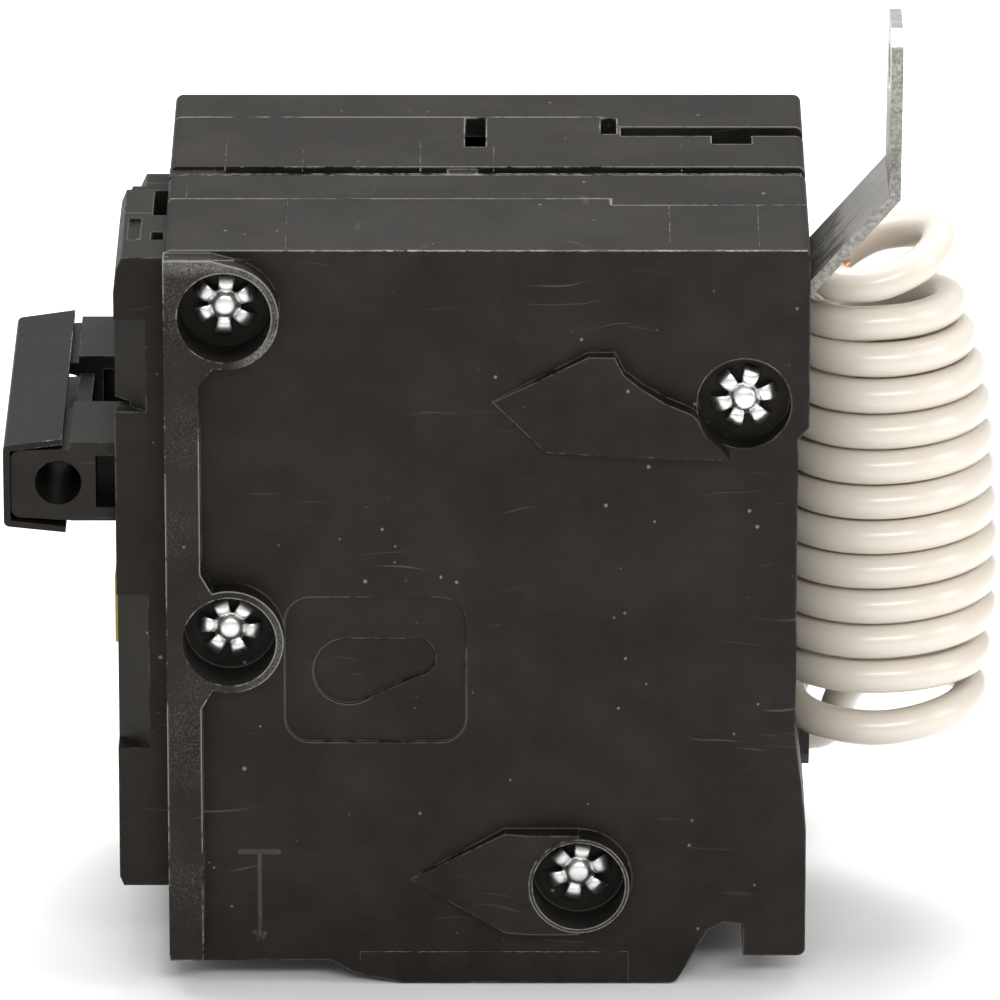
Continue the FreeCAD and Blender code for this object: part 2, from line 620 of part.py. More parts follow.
def contacts_and_line():
    """Line strap of the near pole, plug-on jaw of the far pole and the two fixed contacts."""
    level, thick = SIZES["strap_level"], SIZES["strap_thick"]
    middle = level + thick / 2.0
    path = ((46.5, middle), (59.3, middle), (71.45, 77.9), (71.6, SIZES["strap_top"]))
    low = dim("strap_near")
    high = low + dim("strap_width")
    ribbon = plate("strap_ribbon", "XZ", band(path, thick), low, high)
    mask = plate("strap_mask", "YZ", (
        (low, 55.0), (high, 55.0), (high, dim("strap_top") - 3.4), (high - 1.0, dim("strap_top") - 1.2),
        (high - 3.2, dim("strap_top")), (low + 3.2, dim("strap_top")), (low + 1.0, dim("strap_top") - 1.2),
        (low, dim("strap_top") - 3.4)), 40.0, 80.0)
    hole = rod("strap_hole_tool", "X", (65.0, low + dim("strap_width") * 0.5, dim("strap_hole_z")), 12.0,
               dim("strap_hole"))
    finish("line_strap", cut("strap", common("strap_shape", ribbon, mask), hole))
    y = far.y
    jaw = [box("jaw_plate", (46.5, y(7.0), level), (58.5, y(18.6), level + thick))]
    for index, start in enumerate((11.0, 15.0)):
        jaw.append(box("jaw_leaf_%d" % index, (50.0, y(start), level + 0.5), (58.5, y(start + 0.9), 70.8)))
    finish("line_jaw", fuse("jaw", *jaw))
    buttons = []
    for pole in POLES:
        buttons.append(rod(pole.name + "_fixed_contact", "Z", (50.0, pole.y(12.7), level - 1.0),
                           dim("contact_height"), dim("contact_radius")))
    finish("fixed_contacts", group("fixed_buttons", buttons))


def arc_chutes():
    """Fibre channel with five notched steel plates for each pole."""
    channels = []
    plates = []
    for pole in POLES:
        y = pole.y
        name = pole.name + "_chute"
        channels.append(fuse(name, *(
            box(name + "_back", (58.2, y(9.0), 43.2), (58.8, y(17.4), 54.0)),
            box(name + "_side_near", (54.3, y(8.4), 43.2), (58.8, y(9.0), 54.0)),
            box(name + "_side_far", (54.3, y(17.4), 43.2), (58.8, y(18.0), 54.0)))))
        for index in range(5):
            z = 44.0 + 2.1 * index
            blank = box("%s_plate_%d" % (name, index), (54.4, y(9.0), z), (58.2, y(17.4), z + 1.0))
            notch = plate("%s_notch_%d" % (name, index), "XY", ((53.5, y(10.4)), (57.2, y(12.9)), (57.2, y(13.5)),
                                                               (53.5, y(16.0))), z - 0.5, z + 1.5)
            plates.append(cut("%s_steel_%d" % (name, index), blank, notch))
    finish("arc_chutes", group("chutes", channels))
    finish("arc_plates", group("chute_plates", plates))


def thermal_trip():
    """Bimetal strips, magnet yokes, hinged armatures and calibration screws."""
    strips, yokes, screws, braids = [], [], [], []
    for pole in POLES:
        y = pole.y
        name = pole.name
        strips.append(fuse(name + "_bimetal", *(
            box(name + "_strip_blade", (50.0, y(9.6), 13.4), (50.9, y(15.4), 42.6)),
            box(name + "_strip_foot", (44.4, y(9.6), 12.4), (50.9, y(15.4), 13.6)))))
        yokes.append(fuse(name + "_yoke", *(
            box(name + "_yoke_back", (51.9, y(7.8), 26.0), (53.1, y(17.2), 39.6)),
            box(name + "_yoke_near", (48.2, y(7.8), 26.0), (52.0, y(8.9), 39.6)),
            box(name + "_yoke_far", (48.2, y(16.1), 26.0), (52.0, y(17.2), 39.6)))))
        screws.append(fuse(name + "_calibration", *(
            rod(name + "_calibration_shank", "X", (51.2, y(12.5), 20.0), 6.4, 1.2),
            rod(name + "_calibration_head", "X", (56.0, y(12.5), 20.0), 1.4, 2.2))))
        finish(name + "_armature", fuse(
            name + "_armature_body",
            box(name + "_armature_plate", (45.4, y(9.0), 26.4), (46.4, y(16.0), 41.2)),
            rod(name + "_armature_edge", "Y", (45.9, y(9.0), 41.2), 7.0, 0.6)))
        route = (Vector(49.2, 0, 41.6), Vector(45.0, 0, 44.4), Vector(30.0, 0, 44.8), Vector(23.6, 0, 46.6))
        pieces = []
        for index in range(len(route) - 1):
            start, end = route[index], route[index + 1]
            step = end - start
            lean = math.degrees(math.atan2(step.x, step.z))
            wire = doc.addObject("Part::Cylinder", "%s_braid_%d" % (name, index))
            wire.Radius = 0.9
            wire.Height = step.Length
            locate(wire, (start.x, y(8.0), start.z), Rotation(Vector(0, 1, 0), lean))
            pieces.append(wire)
            joint = doc.addObject("Part::Sphere", "%s_braid_end_%d" % (name, index))
            joint.Radius = 0.9
            locate(joint, (end.x, y(8.0), end.z))
            pieces.append(joint)
        braids.append(fuse(name + "_braid", *pieces))
    finish("bimetals", group("bimetal_pair", strips))
    finish("magnet_yokes", group("yoke_pair", yokes))
    finish("calibration_screws", group("calibration_pair", screws))
    finish("braids", group("braid_pair", braids))


# ---------------------------------------------------------------- ground-fault parts
def trip_bar():
    x, z, size = dim("bar_x"), dim("bar_z"), dim("bar_size")
    finish("trip_bar", box("bar", (x, dim("bar_near"), z), (x + size, dim("bar_far"), z + size)))


def solenoid():
    """Trip solenoid lying along X behind the trip bar, in the far module."""
    y, z = dim("plunger_y"), dim("plunger_z")
    inside = dim("plunger_radius") + 0.05
    frame = fuse("solenoid_frame_solid", *(
        box("frame_front", (15.5, y - 4.6, z - 4.6), (16.5, y + 4.4, z + 4.6)),
        box("frame_rear", (29.0, y - 4.6, z - 4.6), (30.0, y + 4.4, z + 4.6)),
        box("frame_floor", (15.5, y - 4.6, z - 5.6), (30.0, y + 4.4, z - 4.6))))
    bore = rod("frame_bore", "X", (14.0, y, z), 18.0, inside)
    finish("solenoid_frame", cut("frame", frame, bore))
    winding = rod("winding_outer", "X", (16.5, y, z), 12.5, dim("winding_radius"))
    core = rod("winding_core", "X", (16.0, y, z), 14.0, inside)
    finish("solenoid_winding", cut("winding", winding, core))
    shaft = rod("plunger_shaft", "X", (10.4, y, z), dim("bar_x") - 0.1 - 10.4, dim("plunger_radius"))
    head = rod("plunger_head", "X", (10.2, y, z), 1.0, 2.6)
    finish("solenoid_plunger", fuse("plunger", shaft, head))
    coil = rod("plunger_spring_outer", "X", (11.2, y, z), 4.3, 2.5)
    hollow = rod("plunger_spring_inner", "X", (11.0, y, z), 5.0, 1.7)
    finish("plunger_spring", cut("plunger_spring_body", coil, hollow))


def circuit_board():
    y = far.y
    board = box("board", (13.2, y(21.0), 14.0), (37.0, y(22.6), 38.6))
    finish("circuit_board", board)
    parts = [
        box("chip_large", (17.0, y(19.4), 15.0), (27.0, y(21.0), 20.6)),
        box("chip_small", (30.0, y(19.6), 15.0), (34.6, y(21.0), 19.0)),
        rod("capacitor", "Y", (31.6, y(15.0), 24.4), 6.0, 3.0),
        rod("varistor", "Y", (22.0, y(18.6), 24.6), 2.4, 3.4),
    ]
    finish("board_components", group("components", parts))


def sensing():
    """Differential and grounded-neutral toroids around the three primary wires."""
    x, y = dim("ring_x"), dim("ring_y")
    rings = []
    for index, start in enumerate((13.0, 22.0)):
        outer = rod("ring_outer_%d" % index, "Z", (x, y, start), dim("ring_height"), dim("ring_outer"))
        inner = rod("ring_inner_%d" % index, "Z", (x, y, start - 1.0), dim("ring_height") + 2.0, dim("ring_inner"))
        rings.append(cut("ring_%d" % index, outer, inner))
    finish("sensing_toroids", group("rings", rings))
    wires = []
    for index, end in enumerate((None, 33.0, 33.0)):
        angle = math.radians(120.0 * index - 90.0)
        wx = x + 2.0 * math.cos(angle)
        wy = y + 2.0 * math.sin(angle)
        parts = [rod("primary_%d" % index, "Z", (wx, wy, 10.4), 25.6, 1.3)]
        if end:
            parts.append(rod("primary_cross_%d" % index, "Y", (wx, wy, 36.0), end - wy, 1.3))
            elbow = doc.addObject("Part::Sphere", "primary_elbow_%d" % index)
            elbow.Radius = 1.3
            locate(elbow, (wx, wy, 36.0))
            parts.append(elbow)
        wires.append(fuse("primary_wire_%d" % index, *parts))
    finish("primary_wires", group("primary", wires))


def test_button():
    y = far.y
    cap = box("button_cap", (-6.2, y(8.5), 21.0), (-2.9, y(17.0), 28.0))
    flange = box("button_flange", (-2.95, y(7.6), 20.1), (-1.9, y(17.9), 28.9))
    stem = rod("button_stem", "X", (-2.0, y(12.75), 24.5), 4.3, 1.4)
    finish("test_button", fuse("button", cap, flange, stem))
    coil = rod("button_spring_outer", "X", (-1.9, y(12.75), 24.5), 5.8, 2.6)
    hollow = rod("button_spring_inner", "X", (-2.5, y(12.75), 24.5), 8.0, 1.8)
    finish("button_spring", cut("button_spring_body", coil, hollow))
    finish("test_contact", box("test_blade", (3.9, y(4.4), 20.6), (4.5, y(23.4), 27.6)))


# ---------------------------------------------------------------- terminals
def terminal(label, centre):
    """Box lug with its clamp screw, and the pad the screw drives across the wire space."""
    x, half = dim("lug_x"), dim("lug_width") * 0.5
    low, high = dim("lug_low"), dim("lug_low") + dim("lug_height")
    thin = dim("lug_wall")
    block = box(label + "_block", (x, centre - half, low), (x + dim("lug_length"), centre + half, high))
    passage = box(label + "_passage", (x + 2.0, centre - half + thin, low - 1.0),
                  (x + dim("lug_length") - thin, centre + half - thin, high + 1.0))
    bore = rod(label + "_thread", "X", (x - 1.0, centre, dim("screw_z")), 3.5, dim("screw_bore"))
    finish(label + "_lug", cut(label + "_lug_body", block, passage, bore))
    shank = rod(label + "_shank", "X", (2.4, centre, dim("screw_z")), 5.6, dim("screw_radius"))
    head = rod(label + "_head", "X", (0.3, centre, dim("screw_z")), 2.2, dim("head_radius"))
    slot = box(label + "_slot", (-0.2, centre - 3.0, dim("screw_z") - 0.35), (1.2, centre + 3.0, dim("screw_z") + 0.35))
    finish(label + "_screw", cut(label + "_screw_body", fuse(label + "_screw_solid", shank, head), slot))
    pad_half = half - thin - 0.15
    finish(label + "_pad", box(label + "_pad_body", (8.02, centre - pad_half, low + 0.5),
                               (9.0, centre + pad_half, high - 0.5)))


# ---------------------------------------------------------------- pigtail
LEAD_ROUTE = [Vector(68.2, 35.4, 10.6), Vector(71.6, 35.4, 15.2)]  # from the bush up into the wound wire


def swept_wire(route, radius):
    """Round wire along straight runs joined by tangent arcs as large as the runs allow."""
    edges = []
    length = 0.0
    start = route[0]
    for before, corner, after in zip(route, route[1:], route[2:]):
        first = corner - before
        second = after - corner
        turn = first.getAngle(second)
        shorter = min(first.Length, second.Length)
        bend = 0.45 * shorter / math.tan(turn / 2.0)
        first.normalize()
        second.normalize()
        arc_start = corner - first * (0.45 * shorter)
        arc_end = corner + second * (0.45 * shorter)
        inward = second - first
        inward.normalize()
        middle = corner + inward * (bend / math.cos(turn / 2.0) - bend)
        edges.append(Part.LineSegment(start, arc_start).toShape())
        edges.append(Part.Arc(arc_start, middle, arc_end).toShape())
        length += (arc_start - start).Length + bend * turn
        start = arc_end
        print("wire bend radius %.1f mm, turn %.0f degrees" % (bend, math.degrees(turn)))
    edges.append(Part.LineSegment(start, route[-1]).toShape())
    length += (route[-1] - start).Length
    ring = Part.Wire([Part.makeCircle(radius, route[0], route[1] - route[0])])
    tube = Part.Wire(edges).makePipeShell([ring], True, False)
    expected = math.pi * radius ** 2 * length
    if abs(tube.Volume - expected) > 0.01 * expected:
        raise RuntimeError("the wire is not a clean tube")
    print("wire length %.1f mm" % length)
    return tube


def pigtail():
    """Neutral pigtail: bush in the back wall, short lead, wire coil and the bare end."""
    bush = plate("bush", "YZ", bush_outline(0.0), 60.4, dim("exit_x"))
    finish("cable_bush", bush)
    tube = swept_wire([Vector(SIZES["exit_x"], SIZES["exit_y"], SIZES["exit_z"])] + LEAD_ROUTE,
                      SIZES["wire_radius"])
    lead = doc.addObject("Part::Feature", "lead")
    lead.Shape = tube
    finish("pigtail_lead", lead)
    x, y = dim("coil_x"), dim("coil_y")
    shoulder = dim("coil_high") - 4.0
    straight = rod("coil_straight", "Z", (x, y, dim("coil_low")), shoulder - dim("coil_low"), dim("coil_radius"))
    crown = rod("coil_crown", "Z", (x, y, shoulder), 4.0, dim("coil_radius"), dim("coil_crown"))
    finish("pigtail_coil", fuse("coil_envelope", straight, crown))
    strand = doc.addObject("Part::Cylinder", "strand_bundle")
    strand.Radius = 1.2
    strand.Height = 6.0
    locate(strand, (68.0, 31.0, dim("coil_high") + 0.9), Rotation(Vector(-0.84, -0.55, 0), 86))
    finish("pigtail_strands", group("strand_group", [strand]))


for pole in POLES:
    pole_cover(pole)
    pole_base(pole)
    handle(pole)
    contact_arm(pole)
    cradle(pole)
    toggle_spring(pole)
case_rivets()
pivot_pins()
handle_tie()
contacts_and_line()
arc_chutes()
thermal_trip()
trip_bar()
solenoid()
circuit_board()
sensing()
test_button()
terminal("near_load", dim("near_lug_y"))
terminal("far_load", dim("far_lug_y"))
terminal("neutral", dim("neutral_lug_y"))
pigtail()
doc.recompute()

broken = [feature.Name for feature in doc.Objects if set(feature.State) & {"Invalid", "Error"}]
if broken:
    raise RuntimeError("features that failed: " + ", ".join(broken))
os.makedirs("parts", exist_ok=True)
for feature in finished:
    shape = feature.Shape
    if shape.isNull() or not shape.isValid():
        raise RuntimeError("bad shape: " + feature.Label)
    shape.exportStep(os.path.join("parts", feature.Label + ".step"))
    print("%-20s solids %2d  volume %9.1f" % (feature.Label, len(shape.Solids), shape.Volume))
print(len(finished), "sub-parts")
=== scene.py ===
"""Looks of a two-pole ground-fault breaker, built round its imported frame."""

import json
import logging
import math
import random
from dataclasses import dataclass
from enum import Enum
from typing import ClassVar

import bmesh
import bpy
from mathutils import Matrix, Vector

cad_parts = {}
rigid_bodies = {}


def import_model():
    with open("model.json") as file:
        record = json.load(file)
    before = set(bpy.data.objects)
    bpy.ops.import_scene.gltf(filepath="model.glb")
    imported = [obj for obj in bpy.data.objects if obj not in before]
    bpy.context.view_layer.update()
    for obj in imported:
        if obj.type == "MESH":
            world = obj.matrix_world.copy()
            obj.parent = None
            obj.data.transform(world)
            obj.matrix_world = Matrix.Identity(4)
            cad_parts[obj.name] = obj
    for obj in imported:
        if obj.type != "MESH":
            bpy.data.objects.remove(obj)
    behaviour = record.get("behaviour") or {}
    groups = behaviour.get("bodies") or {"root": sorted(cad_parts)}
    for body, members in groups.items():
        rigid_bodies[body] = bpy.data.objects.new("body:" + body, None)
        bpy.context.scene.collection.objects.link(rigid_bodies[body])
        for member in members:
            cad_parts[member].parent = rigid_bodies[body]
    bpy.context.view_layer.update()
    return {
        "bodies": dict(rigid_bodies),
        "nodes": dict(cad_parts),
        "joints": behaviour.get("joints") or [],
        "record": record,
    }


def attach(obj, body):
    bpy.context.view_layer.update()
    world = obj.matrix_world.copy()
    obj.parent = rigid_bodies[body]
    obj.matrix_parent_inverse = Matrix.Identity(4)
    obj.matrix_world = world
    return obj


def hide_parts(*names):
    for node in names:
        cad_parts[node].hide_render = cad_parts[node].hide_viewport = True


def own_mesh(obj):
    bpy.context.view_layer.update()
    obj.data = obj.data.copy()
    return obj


LOG = logging.getLogger("breaker")
MM = 0.001
# the drawing's origin is the front lower near corner of the body; the frame's is under the foot
DATUM = Vector((31.6, 25.4, -3.3))
Point = tuple[float, float, float]
Colour = tuple[float, float, float]


def at(x: float, y: float, z: float) -> Vector:
    """Turns a point of the breaker's drawing, in millimetres, into the frame's metres."""
    return (Vector((x, y, z)) - DATUM) * MM


class Face(Enum):
    """Flat side of the case that a line of flash stands on."""

    NEAR = (0.0, -1.0, 0.0)
    TOP = (0.0, 0.0, 1.0)


class Layout:
    """Adds nodes to one tree, and links them."""

    def __init__(self, tree: bpy.types.NodeTree) -> None:
        """Keeps the tree.

        Args:
            tree: The node tree to add to.
        """
        self.tree = tree

    def add(self, kind: str, values: dict[str, object] | None = None, **settings: object) -> bpy.types.Node:
        """Adds a node.

        Args:
            kind: The node's type name, without its ShaderNode prefix.
            values: What goes into its inputs, as plain values or sockets to link.
            **settings: Properties of the node itself.

        Returns:
            The new node.
        """
        node = self.tree.nodes.new("ShaderNode" + kind)
        for key, value in settings.items():
            setattr(node, key, value)
        for key, value in (values or {}).items():
            self.feed(node.inputs[key], value)
        return node

    def feed(self, socket: bpy.types.NodeSocket, value: object) -> None:
        """Links a socket to an input, or sets its value.

        Args:
            socket: The input.
            value: A socket, a number or a colour.
        """
        if isinstance(value, bpy.types.NodeSocket):
            self.tree.links.new(value, socket)
        elif socket.type == "RGBA":
            socket.default_value = (*value[:3], 1.0)
        else:
            socket.default_value = value

    def ramp(self, value: bpy.types.NodeSocket, low: float, high: float,
             start: float = 0.0, end: float = 1.0) -> bpy.types.NodeSocket:
        """Maps a range of a value onto another, clamped.

        Args:
            value: The value.
            low: Where the mapping starts.
            high: Where it ends.
            start: The result at low.
            end: The result at high.

        Returns:
            The mapped value.
        """
        values = {"Value": value, "From Min": low, "From Max": high, "To Min": start, "To Max": end}
        return self.add("MapRange", values).outputs["Result"]

    def mix(self, factor: object, first: object, second: object) -> bpy.types.NodeSocket:
        """Mixes two colours.

        Args:
            factor: The second colour's share.
            first: The first colour.
            second: The second colour.

        Returns:
            The mixed colour.
        """
        node = self.add("Mix", data_type="RGBA")
        self.feed(node.inputs[0], factor)
        self.feed(node.inputs[6], first)
        self.feed(node.inputs[7], second)
        return node.outputs[2]

    def math(self, operation: str, first: object, second: object) -> bpy.types.NodeSocket:
        """Works out one sum of two values.

        Args:
            operation: The Math node's operation.
            first: The first value.
            second: The second value.

        Returns:
            The result.
        """
        node = self.add("Math", operation=operation)
        self.feed(node.inputs[0], first)
        self.feed(node.inputs[1], second)
        return node.outputs[0]


def new_group(name: str, inputs: dict[str, float], outputs: tuple[str, ...]
              ) -> tuple[bpy.types.NodeTree, Layout, bpy.types.Node, bpy.types.Node]:
    """Makes an empty shader group of float inputs and outputs.

    Args:
        name: The group's name.
        inputs: Each input's name and value.
        outputs: The outputs' names.

    Returns:
        The tree, its layout, and its input and output nodes.
    """
    tree = bpy.data.node_groups.new(name, "ShaderNodeTree")
    for key, value in inputs.items():
        tree.interface.new_socket(key, in_out="INPUT", socket_type="NodeSocketFloat").default_value = value
    for key in outputs:
        tree.interface.new_socket(key, in_out="OUTPUT", socket_type="NodeSocketFloat")
    layout = Layout(tree)
    return tree, layout, tree.nodes.new("NodeGroupInput"), tree.nodes.new("NodeGroupOutput")


def edge_wear_group() -> bpy.types.NodeTree:
    """Makes the group that marks rubbed edges of a part.

    Returns:
        A group with a Mask output, 1 on an edge where the wear has broken through.
    """
    tree, lay, source, sink = new_group("edge_wear", {"Radius": 0.0003, "Grain": 900.0, "Reach": 0.3}, ("Mask",))
    place = lay.add("TexCoord").outputs["Object"]
    plain = lay.add("NewGeometry").outputs["Normal"]
    soft = lay.add("Bevel", {"Radius": source.outputs["Radius"]}, samples=6).outputs["Normal"]
    turn = lay.add("VectorMath", {0: plain, 1: soft}, operation="DOT_PRODUCT").outputs["Value"]
    edge = lay.ramp(turn, 0.99, 0.86)
    grain = lay.add("TexNoise", {"Vector": place, "Scale": source.outputs["Grain"], "Detail": 5.0,
                                 "Roughness": 0.65}).outputs["Fac"]
    broad = lay.add("TexNoise", {"Vector": place, "Scale": 70.0, "Detail": 2.0}).outputs["Fac"]
    broken = lay.math("ADD", grain, lay.ramp(broad, 0.36, 0.64, -0.24, 0.14))
    level = lay.math("SUBTRACT", 0.75, source.outputs["Reach"])
    over = lay.math("SUBTRACT", broken, level)
    torn = lay.ramp(over, 0.0, 0.16)
    lay.feed(sink.inputs["Mask"], lay.math("MULTIPLY", edge, torn))
    return tree


def dust_group() -> bpy.types.NodeTree:
    """Makes the group for handling marks: fine dust, scuffs and pale specks.

    Returns:
        A group with Specks, Haze and Scratches outputs.
    """
    tree, lay, source, sink = new_group("handling_dust", {"Scale": 1.0}, ("Specks", "Haze", "Scratches"))
    place = lay.add("TexCoord").outputs["Object"]
    grown = lay.add("VectorMath", {0: place, "Scale": source.outputs["Scale"]}, operation="SCALE").outputs["Vector"]
    cells = lay.add("TexVoronoi", {"Vector": grown, "Scale": 640.0}, feature="F1")
    size = lay.add("TexWhiteNoise", {"Vector": cells.outputs["Position"]}).outputs["Value"]
    reach = lay.ramp(size, 0.72, 1.0, 0.0, 0.17)
    speck = lay.ramp(lay.math("SUBTRACT", reach, cells.outputs["Distance"]), 0.0, 0.07)
    lay.feed(sink.inputs["Specks"], speck)
    cloud = lay.add("TexNoise", {"Vector": grown, "Scale": 95.0, "Detail": 6.0, "Roughness": 0.62}).outputs["Fac"]
    lay.feed(sink.inputs["Haze"], lay.ramp(cloud, 0.42, 0.72))
    bent = lay.add("TexNoise", {"Vector": grown, "Scale": 60.0, "Detail": 2.0}).outputs["Color"]
    wave = lay.add("VectorMath", {0: grown, 1: lay.add(
        "VectorMath", {0: bent, "Scale": 0.006}, operation="SCALE").outputs["Vector"]}, operation="ADD")
    streak = lay.add("Mapping", {"Vector": wave.outputs["Vector"], "Rotation": (0.5, 0.75, 0.4),
                                 "Scale": (70.0, 70.0, 2200.0)}).outputs["Vector"]
    line = lay.add("TexNoise", {"Vector": streak, "Scale": 1.0, "Detail": 2.0}).outputs["Fac"]
    lay.feed(sink.inputs["Scratches"], lay.ramp(line, 0.7, 0.78))
    return tree


@dataclass(frozen=True)
class Shared:
    """The shader groups that more than one finish uses."""

    wear: bpy.types.NodeTree
    dust: bpy.types.NodeTree


@dataclass(frozen=True)
class MouldedPlastic:
    """Black moulded thermoset with a fine grain, pale rubbed edges and dust."""

    name: str
    base: Colour = (0.0052, 0.0041, 0.0031)
    light: Colour = (0.0108, 0.0089, 0.007)
    worn: Colour = (0.30, 0.29, 0.27)
    roughness: float = 0.5
    wear: float = 0.42
    grain: float = 0.00006
    specks: float = 0.4
    # pale colour of the rims and the strip's upper band: a painted highlight of their lit upper walls, mixed with
    # rubbed wear
    rubbed_and_highlit: Colour = (0.17, 0.165, 0.153)
    proud_y: float = -0.0251
    top_z: float = 0.0768
    sheltered: float = 0.3

    # X where the rims round the front rivets start and end, Z where their painted highlight rises, and Z of the
    # strip's upper band of painted highlight with rubbed wear, in metres
    RIM_FROM: ClassVar = (-0.0252, -0.0222)
    RIM_TO: ClassVar = (-0.0176, -0.0181)
    RIM_LIT_RISE: ClassVar = (0.055, 0.06)
    LIT_BAND: ClassVar = (0.0751, 0.0762)

    def make(self, shared: Shared) -> bpy.types.Material:
        """Builds the material.

        Args:
            shared: The shader groups.

        Returns:
            The material.
        """
        material, lay, shader = new_material(self.name)
        place = lay.add("TexCoord").outputs["Object"]
        wear = lay.add("Group", node_tree=shared.wear)
        wear.inputs["Radius"].default_value = 0.00032
        wear.inputs["Grain"].default_value = 850.0
        wear.inputs["Reach"].default_value = self.wear
        dust = lay.add("Group", node_tree=shared.dust)
        mottle = lay.add("TexNoise", {"Vector": place, "Scale": 240.0, "Detail": 8.0, "Roughness": 0.7}).outputs["Fac"]
        tone = lay.mix(lay.ramp(mottle, 0.38, 0.66), self.base, self.light)
        hazed = lay.mix(lay.math("MULTIPLY", dust.outputs["Haze"], 0.12), tone, (0.07, 0.066, 0.06))
        scuffed = lay.mix(lay.math("MULTIPLY", dust.outputs["Scratches"], 0.22), hazed, (0.2, 0.19, 0.18))
        dotted = lay.mix(lay.math("MULTIPLY", dust.outputs["Specks"], self.specks), scuffed, (0.34, 0.33, 0.31))
        # what stands proud of the near side is rubbed all over
        depth = lay.add("SeparateXYZ", {"Vector": place}).outputs["Y"]
        proud = lay.ramp(depth, self.proud_y, self.proud_y - 0.0001)
        grit = lay.add("TexNoise", {"Vector": place, "Scale": 4600.0, "Detail": 5.0, "Roughness": 0.8}).outputs["Fac"]
        patch = lay.add("TexNoise", {"Vector": place, "Scale": 130.0, "Detail": 3.0}).outputs["Fac"]
        rub = lay.math("MULTIPLY", lay.ramp(grit, 0.5, 0.72), lay.ramp(patch, 0.44, 0.62, 0.08, 0.75))
        rubbed_and_highlit = lay.mix(lay.math("MULTIPLY", proud, rub), dotted, (0.12, 0.115, 0.107))
        # painted highlight on the lit upper walls of the front rivets' rims and the strip's upper band, mixed with
        # rubbed wear
        rubbed_and_highlit = lay.mix(lay.math("MULTIPLY", proud, self.rim_highlight_and_wear(lay, place, grit)), rubbed_and_highlit, self.rubbed_and_highlit)
        # the top and the proud strip are handled most, and the sunk panel least
        upper = lay.ramp(lay.add("SeparateXYZ", {"Vector": place}).outputs["Z"], self.top_z - 0.001, self.top_z)
        handled = lay.math("MAXIMUM", lay.math("MAXIMUM", proud, upper), self.sheltered)
        rubbed_edge = lay.math("MULTIPLY", wear.outputs["Mask"], handled)
        worn = lay.mix(lay.math("MULTIPLY", rubbed_edge, 0.85), rubbed_and_highlit, self.worn)
        lay.feed(shader.inputs["Base Color"], worn)
        matt = lay.ramp(mottle, 0.3, 0.75, self.roughness - 0.05, self.roughness + 0.09)
        lay.feed(shader.inputs["Roughness"], lay.math("ADD", matt, lay.math("MULTIPLY", wear.outputs["Mask"], 0.2)))
        fine = lay.add("TexNoise", {"Vector": place, "Scale": 1900.0, "Detail": 4.0, "Roughness": 0.6}).outputs["Fac"]
        height = lay.math("ADD", fine, lay.math("MULTIPLY", mottle, 1.6))
        bump = lay.add("Bump", {"Strength": 0.55, "Distance": self.grain, "Height": height})
        lay.feed(shader.inputs["Normal"], bump.outputs["Normal"])
        shader.inputs["Specular IOR Level"].default_value = 0.19
        shader.inputs["Specular Tint"].default_value = (1.0, 0.925, 0.845, 1.0)
        return material

    def rim_highlight_and_wear(self, lay: Layout, place: bpy.types.NodeSocket, grit: bpy.types.NodeSocket) -> bpy.types.NodeSocket:
        """Marks the painted highlight, mixed with rubbed wear, on the rims round the two front rivets and the strip's
        upper end.

        Args:
            lay: The material's layout.
            place: The object's own coordinates.
            grit: Fine noise that breaks the mark up.

        Returns:
            The mark, 1 where the painted highlight and the rubbed wear are full.
        """
        axes = lay.add("SeparateXYZ", {"Vector": place})
        inner = lay.ramp(axes.outputs["X"], *self.RIM_FROM)
        outer = lay.ramp(axes.outputs["X"], *self.RIM_TO)
        # painted highlight, stronger on the higher rim and on the band near the top, where the walls face the light
        upper = lay.ramp(axes.outputs["Z"], *self.RIM_LIT_RISE, 0.35, 1.0)
        lit_rims = lay.math("MULTIPLY", lay.math("MULTIPLY", inner, outer), upper)
        lit_band = lay.ramp(axes.outputs["Z"], *self.LIT_BAND, 0.0, 0.8)
        broad = lay.add("TexNoise", {"Vector": place, "Scale": 260.0, "Detail": 3.0}).outputs["Fac"]
        torn = lay.math("MULTIPLY", lay.ramp(grit, 0.38, 0.56), lay.ramp(broad, 0.38, 0.56, 0.25, 1.0))
        return lay.math("MULTIPLY", lay.math("MAXIMUM", lit_rims, lit_band), torn)


